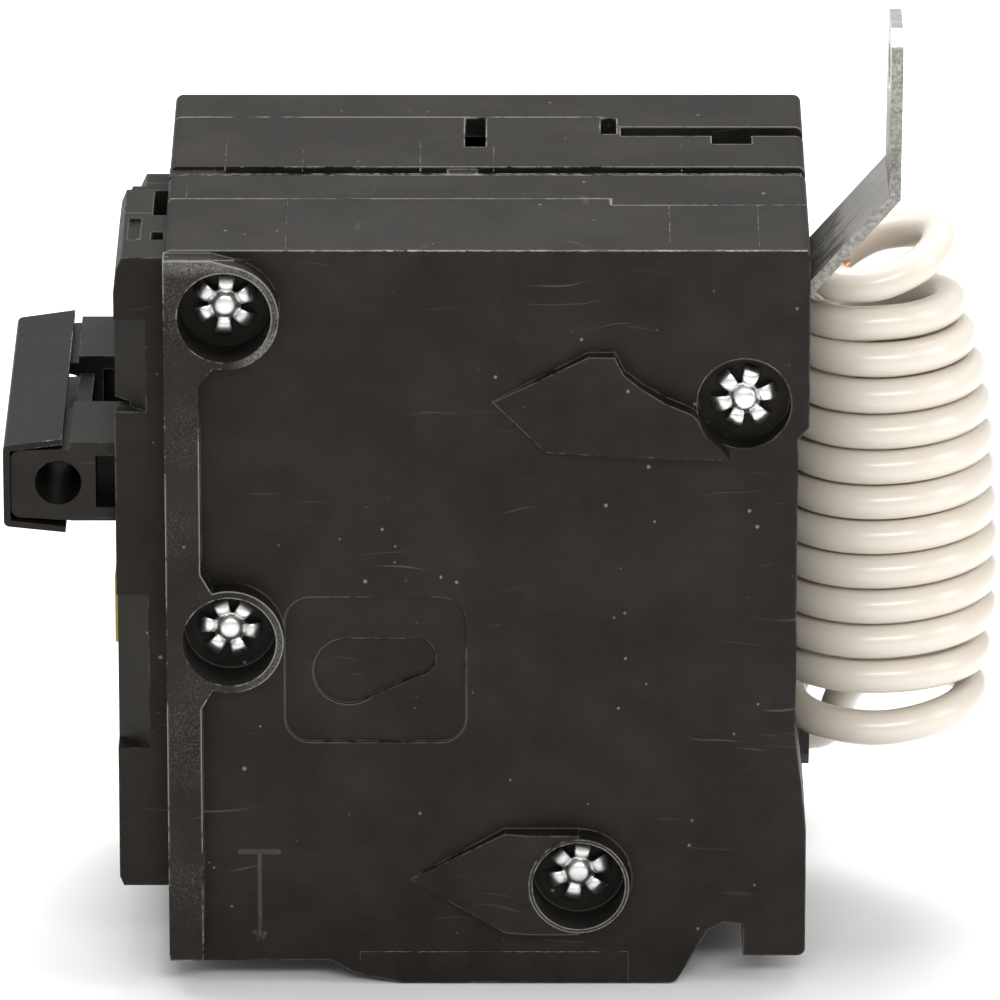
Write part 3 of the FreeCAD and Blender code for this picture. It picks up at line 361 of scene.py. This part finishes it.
@dataclass(frozen=True)
class Metal:
    """Plated or bare metal with a rolled or tumbled surface."""

    name: str
    base: Colour
    dark: Colour
    roughness: float = 0.3
    grain: Point = (900.0, 900.0, 900.0)
    depth: float = 0.00002
    stains: float = 0.35
    sheared: bool = False

    def make(self, shared: Shared) -> bpy.types.Material:
        """Builds the material.

        Args:
            shared: The shader groups.

        Returns:
            The material.
        """
        material, lay, shader = new_material(self.name)
        place = lay.add("TexCoord").outputs["Object"]
        drawn = lay.add("Mapping", {"Vector": place, "Scale": self.grain}).outputs["Vector"]
        fine = lay.add("TexNoise", {"Vector": drawn, "Scale": 1.0, "Detail": 5.0, "Roughness": 0.6}).outputs["Fac"]
        cloud = lay.add("TexNoise", {"Vector": place, "Scale": 420.0, "Detail": 5.0, "Roughness": 0.7}).outputs["Fac"]
        dust = lay.add("Group", node_tree=shared.dust)
        stain = lay.math("MULTIPLY", lay.ramp(cloud, 0.48, 0.72), self.stains)
        tone = lay.mix(stain, self.base, self.dark)
        marked = lay.mix(lay.math("MULTIPLY", dust.outputs["Scratches"], 0.25), tone, self.dark)
        rough = lay.ramp(fine, 0.3, 0.7, self.roughness - 0.07, self.roughness + 0.12)
        if self.sheared:
            # the blank's cut sides are torn and dull
            side = lay.add("SeparateXYZ", {"Vector": lay.add("NewGeometry").outputs["Normal"]}).outputs["Y"]
            cut = lay.ramp(lay.math("ABSOLUTE", side, 0.0), 0.6, 0.9)
            torn = lay.add("TexNoise", {"Vector": place, "Scale": 2600.0, "Detail": 6.0,
                                        "Roughness": 0.8}).outputs["Fac"]
            marked = lay.mix(cut, marked, lay.mix(lay.ramp(torn, 0.4, 0.6), self.dark, (0.42, 0.41, 0.38)))
            rough = lay.math("ADD", rough, lay.math("MULTIPLY", cut, 0.25))
            fine = lay.math("ADD", fine, lay.math("MULTIPLY", lay.math("MULTIPLY", cut, torn), 6.0))
        lay.feed(shader.inputs["Base Color"], marked)
        shader.inputs["Metallic"].default_value = 1.0
        lay.feed(shader.inputs["Roughness"], lay.math("ADD", rough, lay.math("MULTIPLY", stain, 0.3)))
        bump = lay.add("Bump", {"Strength": 0.5, "Distance": self.depth, "Height": fine})
        lay.feed(shader.inputs["Normal"], bump.outputs["Normal"])
        return material


@dataclass(frozen=True)
class Coated:
    """Smooth moulded or coated surface: wire jacket, paint, resin, rubber or fibre."""

    name: str
    base: Colour
    shade: Colour
    roughness: float = 0.35
    coat: float = 0.0
    gloss: float = 0.5
    soft: float = 0.0
    depth: float = 0.00002
    wear: float = 0.0
    worn: Colour = (0.4, 0.39, 0.37)

    def make(self, shared: Shared) -> bpy.types.Material:
        """Builds the material.

        Args:
            shared: The shader groups.

        Returns:
            The material.
        """
        material, lay, shader = new_material(self.name)
        place = lay.add("TexCoord").outputs["Object"]
        cloud = lay.add("TexNoise", {"Vector": place, "Scale": 160.0, "Detail": 5.0, "Roughness": 0.6}).outputs["Fac"]
        fine = lay.add("TexNoise", {"Vector": place, "Scale": 1500.0, "Detail": 3.0}).outputs["Fac"]
        dust = lay.add("Group", node_tree=shared.dust)
        tone = lay.mix(lay.ramp(cloud, 0.35, 0.7), self.base, self.shade)
        marked = lay.mix(lay.math("MULTIPLY", dust.outputs["Scratches"], 0.1), tone, self.shade)
        if self.wear:
            wear = lay.add("Group", node_tree=shared.wear)
            wear.inputs["Radius"].default_value = 0.0002
            wear.inputs["Grain"].default_value = 1100.0
            wear.inputs["Reach"].default_value = self.wear
            marked = lay.mix(lay.math("MULTIPLY", wear.outputs["Mask"], 0.7), marked, self.worn)
        lay.feed(shader.inputs["Base Color"], marked)
        lay.feed(shader.inputs["Roughness"], lay.ramp(fine, 0.3, 0.7, self.roughness - 0.04, self.roughness + 0.08))
        bump = lay.add("Bump", {"Strength": 0.4, "Distance": self.depth, "Height": lay.math("ADD", fine, cloud)})
        lay.feed(shader.inputs["Normal"], bump.outputs["Normal"])
        shader.inputs["Specular IOR Level"].default_value = self.gloss
        shader.inputs["Coat Weight"].default_value = self.coat
        shader.inputs["Coat Roughness"].default_value = 0.12
        if self.soft:
            shader.inputs["Coat Roughness"].default_value = 0.2
            shader.inputs["Subsurface Weight"].default_value = self.soft
            shader.inputs["Subsurface Radius"].default_value = (0.0012, 0.0009, 0.0006)
            shader.inputs["Subsurface Scale"].default_value = 0.5
        return material


def new_material(name: str) -> tuple[bpy.types.Material, Layout, bpy.types.Node]:
    """Makes a material that holds just its shader and output.

    Args:
        name: The material's name.

    Returns:
        The material, the layout of its nodes and its shader node.
    """
    material = bpy.data.materials.new(name)
    material.use_nodes = True
    nodes = material.node_tree.nodes
    nodes.clear()
    layout = Layout(material.node_tree)
    shader = layout.add("BsdfPrincipled")
    output = layout.add("OutputMaterial")
    layout.feed(output.inputs["Surface"], shader.outputs["BSDF"])
    return material, layout, shader


class Finishes:
    """Every finish of the breaker, by the name of its material slot."""

    TABLE: ClassVar = {
        "case_plastic": MouldedPlastic("case_moulding"),
        "handle_plastic": MouldedPlastic("handle_moulding", base=(0.007, 0.0062, 0.0055), light=(0.014, 0.0125, 0.011),
                                         roughness=0.42, wear=0.24, specks=0.2),
        "painted_steel": Coated("black_paint", (0.0062, 0.0048, 0.0034), (0.0115, 0.009, 0.0066), 0.42, gloss=0.18,
                                wear=0.24),
        "zinc_steel": Metal("zinc_plate", (0.8, 0.8, 0.78), (0.42, 0.42, 0.42), 0.3),
        "tinned_strap": Metal("tin_plate", (0.54, 0.52, 0.485), (0.2, 0.19, 0.175), 0.33, (300.0, 1500.0, 300.0),
                              stains=0.5, sheared=True),
        "copper": Metal("bare_copper", (0.85, 0.36, 0.19), (0.5, 0.17, 0.08), 0.3),
        "silver_contact": Metal("silver_alloy", (0.78, 0.77, 0.74), (0.45, 0.44, 0.42), 0.3),
        "dark_steel": Metal("plain_steel", (0.32, 0.32, 0.32), (0.12, 0.12, 0.12), 0.38),
        "spring_steel": Metal("spring_wire", (0.46, 0.46, 0.46), (0.2, 0.2, 0.2), 0.28),
        "arc_fibre": Coated("vulcanised_fibre", (0.46, 0.39, 0.29), (0.33, 0.27, 0.19), 0.7, depth=0.00006),
        "board_resin": Coated("board_mask", (0.03, 0.14, 0.06), (0.018, 0.09, 0.04), 0.35, coat=0.3),
        "core_resin": Coated("potting_resin", (0.035, 0.035, 0.04), (0.02, 0.02, 0.023), 0.4, coat=0.2),
        "wire_jacket": Coated("wire_nylon", (0.67, 0.615, 0.537), (0.65, 0.595, 0.512), 0.32, coat=0.6, soft=0.08,
                              depth=0.0000015),
        "bush_rubber": Coated("bush_rubber", (0.02, 0.02, 0.02), (0.034, 0.033, 0.032), 0.62, depth=0.00004),
        "button_plastic": Coated("button_moulding", (0.52, 0.37, 0.04), (0.42, 0.29, 0.03), 0.38, coat=0.1,
                                 wear=0.15),
    }

    def __init__(self) -> None:
        """Builds the shader groups, and one material for each slot."""
        shared = Shared(edge_wear_group(), dust_group())
        self.made = {slot: finish.make(shared) for slot, finish in self.TABLE.items()}
        self.flash = MouldedPlastic("flash_moulding", base=(0.05, 0.047, 0.043), light=(0.28, 0.27, 0.25),
                                    roughness=0.7, wear=0.1, proud_y=-1.0).make(shared)

    def dress(self, frame: dict[str, object]) -> None:
        """Puts each drawn node's finish on it.

        Args:
            frame: The loaded frame.
        """
        slots = {part["node"]: part["material_slot"] for part in frame["record"]["subparts"]}
        for name, node in frame["nodes"].items():
            node.data.materials.clear()
            node.data.materials.append(self.made[slots[name]])
        LOG.info("dressed %d drawn nodes", len(slots))


@dataclass
class Studio:
    """Camera, lights and floor."""

    target: Point = (0.0034, 0.0, 0.0413)
    distance: float = 1.21965
    elevation: float = 20.3325
    lens: float = 437.82
    shift: tuple[float, float] = (-0.0218, 0.0137)
    floor_size: float = 3.0
    floor_drop: float = 0.0002
    surround: float = 0.6

    # each panel's name, place, size and power in watts
    PANELS: ClassVar = (
        ("top_panel", (-0.05, 0.25, 0.75), (0.8, 0.5), 8.1),
        ("front_panel", (0.1, -0.75, 0.55), (0.7, 0.14), 3.6),
        ("side_panel", (0.7, -0.25, 0.4), (0.3, 0.5), 1.6),
    )

    def camera(self) -> None:
        """Makes the camera and the scene's use of it."""
        data = bpy.data.cameras.new("camera")
        data.lens = self.lens
        data.sensor_width = 36.0
        data.shift_x, data.shift_y = self.shift
        data.clip_start, data.clip_end = 0.05, 20.0
        lean = math.radians(self.elevation)
        eye = bpy.data.objects.new("camera", data)
        eye.location = Vector(self.target) + Vector((0.0, -math.cos(lean), math.sin(lean))) * self.distance
        eye.rotation_euler = (math.pi / 2.0 - lean, 0.0, 0.0)
        bpy.context.scene.collection.objects.link(eye)
        bpy.context.scene.camera = eye
        LOG.info("camera placed")

    def light(self, name: str, place: Point, size: tuple[float, float], power: float) -> None:
        """Makes one soft panel of light that faces the breaker.

        Args:
            name: The light's name.
            place: Where it hangs.
            size: Its width and height.
            power: Its power in watts.
        """
        data = bpy.data.lights.new(name, "AREA")
        data.shape = "RECTANGLE"
        data.size, data.size_y = size
        data.energy = power
        lamp = bpy.data.objects.new(name, data)
        lamp.location = place
        lamp.rotation_euler = (Vector(self.target) - Vector(place)).to_track_quat("-Z", "Y").to_euler()
        bpy.context.scene.collection.objects.link(lamp)

    def build(self) -> None:
        """Makes the floor, the surround and the lights."""
        mesh = bpy.data.meshes.new("floor")
        half = self.floor_size / 2.0
        mesh.from_pydata([(-half, -half, 0), (half, -half, 0), (half, half, 0), (-half, half, 0)], [], [(0, 1, 2, 3)])
        floor = bpy.data.objects.new("floor", mesh)
        floor.location.z = -self.floor_drop
        bpy.context.scene.collection.objects.link(floor)
        material, lay, shader = new_material("pale_floor")
        grain = lay.add("TexNoise", {"Scale": 8.0, "Detail": 3.0}).outputs["Fac"]
        lay.feed(shader.inputs["Base Color"], lay.mix(grain, (0.86, 0.86, 0.86), (0.9, 0.9, 0.9)))
        shader.inputs["Roughness"].default_value = 0.8
        mesh.materials.append(material)
        world = bpy.data.worlds.new("surround")
        world.use_nodes = True
        world.node_tree.nodes["Background"].inputs["Color"].default_value = (1.0, 1.0, 1.0, 1.0)
        world.node_tree.nodes["Background"].inputs["Strength"].default_value = self.surround
        bpy.context.scene.world = world
        for panel in self.PANELS:
            self.light(*panel)
        bpy.context.scene.view_settings.view_transform = "Standard"
        LOG.info("studio lit")


def smooth(obj: bpy.types.Object) -> None:
    """Shades every face of a mesh smooth."""
    for face in obj.data.polygons:
        face.use_smooth = True


def mesh_piece(name: str, build: bmesh.types.BMesh, material: bpy.types.Material) -> bpy.types.Object:
    """Turns a built mesh into a piece of the scene.

    Args:
        name: The piece's name.
        build: The mesh, which is freed.
        material: Its finish.

    Returns:
        The new object.
    """
    bmesh.ops.recalc_face_normals(build, faces=build.faces)
    mesh = bpy.data.meshes.new(name)
    build.to_mesh(mesh)
    build.free()
    mesh.materials.append(material)
    piece = bpy.data.objects.new(name, mesh)
    bpy.context.scene.collection.objects.link(piece)
    return piece


def bridge(build: bmesh.types.BMesh, rings: list[list[bmesh.types.BMVert]]) -> None:
    """Joins rings of the same number of points into one closed tube.

    Args:
        build: The mesh to add to.
        rings: The rings, in order; the first and last are capped.
    """
    for low, high in zip(rings, rings[1:]):
        for index in range(len(low)):
            follow = (index + 1) % len(low)
            build.faces.new((low[index], low[follow], high[follow], high[index]))
    build.faces.new(rings[0])
    build.faces.new(rings[-1])


def turned(build: bmesh.types.BMesh, profile: tuple[tuple[float, float], ...], centre: Vector,
           steps: int = 40) -> None:
    """Adds a solid turned about the line along +Y through a point.

    Args:
        build: The mesh to add to.
        profile: Distance along +Y and radius of each ring, in millimetres; both ends are closed.
        centre: The point, in metres.
        steps: Points round each ring.
    """
    rings = []
    for along, radius in profile:
        ring = []
        for index in range(steps):
            angle = math.tau * index / steps
            offset = Vector((math.cos(angle) * radius, along, math.sin(angle) * radius)) * MM
            ring.append(build.verts.new(centre + offset))
        rings.append(ring)
    bridge(build, rings)


@dataclass
class Pigtail:
    """Coiled neutral wire with its stripped end."""

    exit: Point = (64.2, 35.4, 10.6)
    lead: tuple[Point, ...] = ((66.7, 35.4, 10.6), (67.4, 35.4, 15.4))
    axis_y: float = 25.4
    radius: float = 1.75
    tilt: float = 0.11
    steps: int = 16
    centres: tuple[float, ...] = (71.2, 71.2, 71.2, 71.2, 71.2, 71.2, 71.2, 71.2, 71.2, 71.0, 70.7, 70.3, 69.9)
    radii: tuple[float, ...] = (9.1, 9.6, 10.0, 10.05, 9.95, 9.8, 9.6, 9.3, 8.95, 8.5, 7.9, 7.05, 6.4)
    heights: tuple[float, ...] = (18.5, 24.3, 28.2, 31.9, 35.6, 39.2, 42.8, 46.4, 50.0, 53.6, 57.2, 60.8, 64.5)
    # the last turn springs up at the far side, then dips to its end
    lift: tuple[float, ...] = (0.0, -0.9, 2.6, 3.1, 0.0)
    tail: tuple[Point, ...] = ((66.4, 19.5, 64.4), (64.9, 21.4, 64.4), (65.5, 24.2, 64.2))
    length: float = 0.735
    strand_radius: float = 0.2
    strand_rings: tuple[tuple[float, int], ...] = ((0.42, 6), (0.84, 12))

    def between(self, values: tuple[float, ...], turn: float) -> float:
        """Reads a list that holds one value per turn, at half turns."""
        place = min(max(turn - 0.5, 0.0), len(values) - 1.0)
        index = min(int(place), len(values) - 2)
        share = place - index
        return values[index] * (1.0 - share) + values[index + 1] * share

    def turns(self) -> list[Point]:
        """Places the points of the turns, from the far side of the lowest one.

        Returns:
            The control points, in the drawing's millimetres.
        """
        loose = random.Random(11)
        points = []
        # a spline of this order runs inside its control points
        outward = 1.0 / (0.75 + 0.25 * math.cos(math.tau / self.steps))
        last = len(self.heights) - 0.5
        sway = [loose.uniform(-0.12, 0.12) for _ in self.heights] + [0.0]
        for index in range(int(last * self.steps) + 1):
            turn = index / self.steps
            angle = math.tau * turn
            settle = sway[int(turn)] * math.sin(angle) ** 2
            radius = (self.between(self.radii, turn) + settle) * outward
            x = self.between(self.centres, turn) + radius * math.sin(angle)
            y = self.axis_y + radius * math.cos(angle)
            spring = self.between(self.lift, (turn - last + 1.0) * 4.0 + 0.5) if turn > last - 1.0 else 0.0
            z = self.between(self.heights, turn) + spring + self.tilt * radius * math.sin(angle)
            points.append((x, y, z))
        return points

    def build(self, finishes: "Finishes") -> None:
        """Makes the wire, its jacket's cut end and its copper strands."""
        route = [self.exit, *self.lead, *self.turns(), *self.tail]
        data = bpy.data.curves.new("pigtail_wire", "CURVE")
        data.dimensions = "3D"
        spline = data.splines.new("NURBS")
        spline.points.add(len(route) - 1)
        for point, place in zip(spline.points, route):
            point.co = (*at(*place), 1.0)
        spline.order_u = 3
        spline.use_endpoint_u = True
        data.resolution_u = 6
        data.bevel_depth = self.radius * MM
        data.bevel_resolution = 5
        data.use_fill_caps = True
        data.materials.append(finishes.made["wire_jacket"])
        wire = bpy.data.objects.new("pigtail_wire", data)
        bpy.context.scene.collection.objects.link(wire)
        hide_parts("pigtail_lead", "pigtail_coil")
        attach(wire, "case")
        strands = self.strands(finishes)
        LOG.info("pigtail: %d points", len(route))

    def strands(self, finishes: "Finishes") -> bpy.types.Object:
        """Makes the bare copper strands, a little splayed."""
        loose = random.Random(5)
        data = bpy.data.curves.new("copper_strands", "CURVE")
        data.dimensions = "3D"
        data.bevel_depth = self.strand_radius * MM
        data.bevel_resolution = 2
        data.use_fill_caps = True
        end = Vector(self.tail[-1])
        along = (end - Vector(self.tail[-2])).normalized()
        side = along.cross(Vector((0.0, 0.0, 1.0))).normalized()
        lift = side.cross(along)
        places = [(0.0, 0.0)]
        for ring, count in self.strand_rings:
            for index in range(count):
                angle = math.tau * index / count
                places.append((ring * math.cos(angle), ring * math.sin(angle)))
        for across, up in places:
            spline = data.splines.new("NURBS")
            spline.points.add(3)
            splay = loose.uniform(1.0, 1.5)
            reach = loose.uniform(5.0, 6.4)
            for index, share in enumerate((-0.1, 0.25, 0.6, 1.0)):
                grow = 1.0 + (splay - 1.0) * max(share, 0.0)
                place = end + along * reach * share + side * across * grow + lift * (up * grow - 0.5 * share * share)
                spline.points[index].co = (*at(*place), 1.0)
            spline.order_u = 3
            spline.use_endpoint_u = True
        data.materials.append(finishes.made["copper"])
        piece = bpy.data.objects.new("copper_strands", data)
        bpy.context.scene.collection.objects.link(piece)
        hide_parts("pigtail_strands")
        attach(piece, "case")
        return piece


@dataclass
class StarRivets:
    """Tubular rivets, each split into six curled petals at its near end."""

    centres: tuple[tuple[float, float], ...] = ((5.94, 67.7), (6.2, 33.9), (56.8, 58.0), (40.65, 7.9))
    floor: float = 5.0
    far_end: float = 45.8
    petals: int = 6
    petal_reach: float = 3.12
    thickness: float = 0.22

    # distance along the rivet and radius, from the floor at the near end and from the far end
    NEAR_END: ClassVar = ((0.6, 1.2), (-0.4, 1.34), (-0.62, 1.62), (-0.8, 1.66), (-0.86, 1.5), (-0.98, 1.36),
                          (-1.3, 1.12), (-1.45, 0.75), (-1.5, 0.3))
    FAR_END: ClassVar = ((-6.0, 1.4), (-1.2, 1.4), (-1.2, 2.9), (-0.9, 3.0), (-0.45, 2.7), (-0.1, 1.9), (0.0, 0.8))
    # how far out, how high and half how wide a petal is, from its root to its tip, less the last two reaches
    PETAL: ClassVar = ((1.15, -0.3, 0.5), (1.5, -0.85, 0.62), (1.95, -1.0, 0.74), (2.45, -0.95, 0.84),
                       (2.9, -0.7, 0.88))

    def petal(self, build: bmesh.types.BMesh, centre: Vector, turn: float, curl: float) -> None:
        """Adds one petal, which rises out of the tube and curls down to the floor.

        Args:
            build: The mesh to add to.
            centre: The rivet's middle, on the counterbore's floor.
            turn: The petal's direction.
            curl: How far out it reaches, as a share.
        """
        outward = Vector((math.cos(turn), 0.0, math.sin(turn)))
        across = Vector((-math.sin(turn), 0.0, math.cos(turn)))
        reach = self.petal_reach * curl
        path = (*self.PETAL, (reach, -0.35, 0.86), (reach + 0.04, -0.05, 0.8))
        rows = []
        for out, rise, half in path:
            row = []
            for share in (-1.0, -0.5, 0.0, 0.5, 1.0):
                crown = 0.14 * (1.0 - share * share)
                place = outward * out + across * half * share + Vector((0.0, rise - crown, 0.0))
                row.append(build.verts.new(centre + place * MM))
            rows.append(row)
        for low, high in zip(rows, rows[1:]):
            for index in range(4):
                build.faces.new((low[index], low[index + 1], high[index + 1], high[index]))

    def build(self, finishes: "Finishes") -> None:
        """Makes the four rivets' petals as one piece and their barrels as another."""
        loose = random.Random(3)
        stars = bmesh.new()
        shanks = bmesh.new()
        for x, z in self.centres:
            centre = at(x, self.floor, z)
            first = loose.uniform(0.0, math.tau)
            for index in range(self.petals):
                turn = first + math.tau * index / self.petals + loose.uniform(-0.05, 0.05)
                self.petal(stars, centre, turn, loose.uniform(0.94, 1.04))
            turned(shanks, self.NEAR_END, centre)
            turned(shanks, self.FAR_END, at(x, self.far_end, z))
        piece = mesh_piece("rivet_stars", stars, finishes.made["zinc_steel"])
        solid = piece.modifiers.new("thickness", "SOLIDIFY")
        solid.thickness = self.thickness * MM
        solid.offset = 0.0
        rounding = piece.modifiers.new("rounding", "SUBSURF")
        rounding.levels = rounding.render_levels = 2
        smooth(piece)
        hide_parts("case_rivets")
        barrels = mesh_piece("rivet_barrels", shanks, finishes.made["zinc_steel"])
        smooth(barrels)
        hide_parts("case_rivets")
        for made in (piece, barrels):
            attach(made, "case")
        LOG.info("rivets: %d", len(self.centres))


@dataclass
class PlungerSpring:
    """Coil spring round the solenoid's plunger."""

    centre: tuple[float, float] = (39.6, 34.0)
    head_end: float = 11.2
    seat_end: float = 15.5
    coil_radius: float = 2.1
    wire_radius: float = 0.22
    turns: int = 5
    steps: int = 24
    sides: int = 8
    keep: float = 0.5

    def build(self, finishes: "Finishes") -> None:
        """Makes the spring as one closed tube along a helix."""
        coil = bmesh.new()
        margin = self.wire_radius + 0.03
        run = self.seat_end - self.head_end - 2.0 * margin
        count = self.turns * self.steps
        rings = []
        for index in range(count + 1):
            angle = math.tau * index / self.steps
            outward = Vector((0.0, math.cos(angle), math.sin(angle)))
            middle = Vector((self.head_end + margin + run * index / count, *self.centre)) + outward * self.coil_radius
            ring = []
            for side in range(self.sides):
                turn = math.tau * side / self.sides
                offset = (outward * math.cos(turn) + Vector((1.0, 0.0, 0.0)) * math.sin(turn)) * self.wire_radius
                ring.append(coil.verts.new(at(*(middle + offset))))
            rings.append(ring)
        bridge(coil, rings)
        piece = mesh_piece("plunger_coil_spring", coil, finishes.made["spring_steel"])
        smooth(piece)
        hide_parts("plunger_spring")
        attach(piece, "case")
        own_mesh(piece)
        LOG.info("plunger spring: %d turns", self.turns)


@dataclass
class Flash:
    """Thin moulding flash and rubbed lines that stand on the case."""

    step: float = 0.35
    half: float = 0.07
    height: float = 0.045

    # face, start and end of each line, how broken it is, and its weight
    LINES: ClassVar = (
        (Face.TOP, (12.5, 2.42, 73.88), (62.9, 2.42, 73.88), 0.3, 2.3),
        (Face.TOP, (0.5, 0.3, 73.6), (7.0, 0.3, 73.6), 0.3, 1.2),
        (Face.TOP, (0.3, 18.0, 73.9), (43.6, 18.0, 73.9), 0.25, 1.2),
        (Face.TOP, (43.6, 16.0, 73.9), (62.9, 16.0, 73.9), 0.25, 1.0),
        (Face.TOP, (43.6, 16.0, 73.9), (43.6, 18.0, 73.9), 0.1, 1.0),
        (Face.TOP, (14.0, 25.12, 73.88), (62.8, 25.12, 73.88), 0.3, 1.3),
        (Face.TOP, (0.4, 25.65, 73.88), (62.8, 25.65, 73.88), 0.4, 1.3),
        (Face.TOP, (27.4, 25.2, 73.88), (30.8, 25.2, 73.88), 0.0, 3.0),
        (Face.TOP, (27.4, 25.5, 73.88), (30.8, 25.5, 73.88), 0.0, 3.0),
        (Face.TOP, (11.9, 2.6, 73.9), (11.9, 17.8, 73.9), 0.5, 1.0),
        (Face.TOP, (49.5, 2.6, 73.9), (49.5, 15.8, 73.9), 0.5, 1.0),
        (Face.TOP, (58.2, 2.6, 73.9), (58.2, 15.8, 73.9), 0.5, 1.0),
        (Face.TOP, (53.7, 16.2, 73.9), (53.7, 24.8, 73.9), 0.5, 0.8),
        (Face.TOP, (1.9, 18.4, 73.9), (1.9, 22.4, 73.9), 0.3, 1.0),
        (Face.TOP, (5.5, 26.4, 73.9), (5.5, 36.0, 73.9), 0.5, 0.9),
        (Face.TOP, (13.2, 26.4, 73.9), (13.2, 33.0, 73.9), 0.5, 0.9),
        (Face.TOP, (24.9, 26.4, 73.9), (24.9, 36.0, 73.9), 0.4, 1.1),
        (Face.TOP, (32.2, 26.4, 73.9), (32.2, 34.6, 73.9), 0.5, 0.8),
        (Face.TOP, (50.9, 26.4, 73.9), (50.9, 35.0, 73.9), 0.5, 0.8),
        (Face.NEAR, (18.9, 2.4, 0.0), (45.6, 2.4, 0.0), 0.3, 0.9),
        (Face.NEAR, (18.9, 2.4, 0.0), (18.9, 2.4, -0.9), 0.3, 0.9),
        (Face.NEAR, (45.6, 2.4, 0.0), (45.6, 2.4, -3.1), 0.3, 0.9),
    )
    # rubbed arcs of a rivet's rim: its middle, radius, first and last angle, level and weight
    RIMS: ClassVar = (
        (56.8, 58.0, 4.7, 0.0, -350.0, 2.4, 0.8), (40.65, 7.9, 4.7, 0.0, -350.0, 0.2, 1.0),
    )

    def ridge(self, build: bmesh.types.BMesh, face: Face, path: list[Point], gaps: float, weight: float,
              loose: random.Random) -> None:
        """Adds one broken ridge of uneven width and height.

        Args:
            build: The mesh to add to.
            face: The side that it stands on.
            path: Its points, in the drawing's millimetres.
            gaps: The share of it that is missing.
            weight: Its width, as a share of the usual one.
            loose: The source of the unevenness.
        """
        normal = Vector(face.value)
        previous = None
        wander = 0.0
        for index, place in enumerate(path):
            first = Vector(path[max(index - 1, 0)])
            second = Vector(path[min(index + 1, len(path) - 1)])
            across = (second - first).normalized().cross(normal)
            wander = wander * 0.7 + loose.uniform(-0.5, 0.5)
            missing = wander > 0.75 - gaps
            grow = (0.12 if missing else loose.uniform(0.45, 1.25)) * weight
            middle = Vector(place) + across * loose.uniform(-0.03, 0.03) * weight
            rise = self.height * min(grow, 1.3)
            row = [build.verts.new(at(*(middle - across * self.half * grow - normal * 0.05))),
                   build.verts.new(at(*(middle + normal * rise))),
                   build.verts.new(at(*(middle + across * self.half * grow - normal * 0.05)))]
            if previous:
                for side in range(3):
                    follow = (side + 1) % 3
                    build.faces.new((previous[side], previous[follow], row[follow], row[side]))
            else:
                build.faces.new(row)
            previous = row
        build.faces.new(previous)

    def straight(self, start: Point, end: Point) -> list[Point]:
        """Divides a line into the usual steps."""
        run = Vector(end) - Vector(start)
        count = max(int(run.length / self.step), 2)
        return [tuple(Vector(start) + run * (index / count)) for index in range(count + 1)]

    def arc(self, x: float, z: float, radius: float, first: float, last: float, level: float) -> list[Point]:
        """Divides an arc in the near side's plane into the usual steps."""
        count = int(math.radians(abs(last - first)) * radius / self.step)
        turns = [math.radians(first + (last - first) * index / count) for index in range(count + 1)]
        return [(x + radius * math.cos(turn), level, z + radius * math.sin(turn)) for turn in turns]

    def build(self, finishes: "Finishes") -> None:
        """Makes every line as one piece."""
        loose = random.Random(21)
        lines = bmesh.new()
        for face, start, end, gaps, weight in self.LINES:
            self.ridge(lines, face, self.straight(start, end), gaps, weight, loose)
        for x, z, radius, first, last, level, weight in self.RIMS:
            self.ridge(lines, Face.NEAR, self.arc(x, z, radius, first, last, level), 0.35, weight, loose)
        piece = mesh_piece("moulding_flash", lines, finishes.flash)
        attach(piece, "case")
        LOG.info("flash: %d lines", len(self.LINES) + len(self.RIMS))


def main() -> None:
    """Builds every piece in order."""
    logging.basicConfig(level=logging.INFO, format="%(message)s")
    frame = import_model()
    studio = Studio()
    studio.camera()
    finishes = Finishes()
    Pigtail().build(finishes)
    finishes.dress(frame)
    StarRivets().build(finishes)
    PlungerSpring().build(finishes)
    Flash().build(finishes)
    studio.build()


if __name__ == "__main__":
    main()
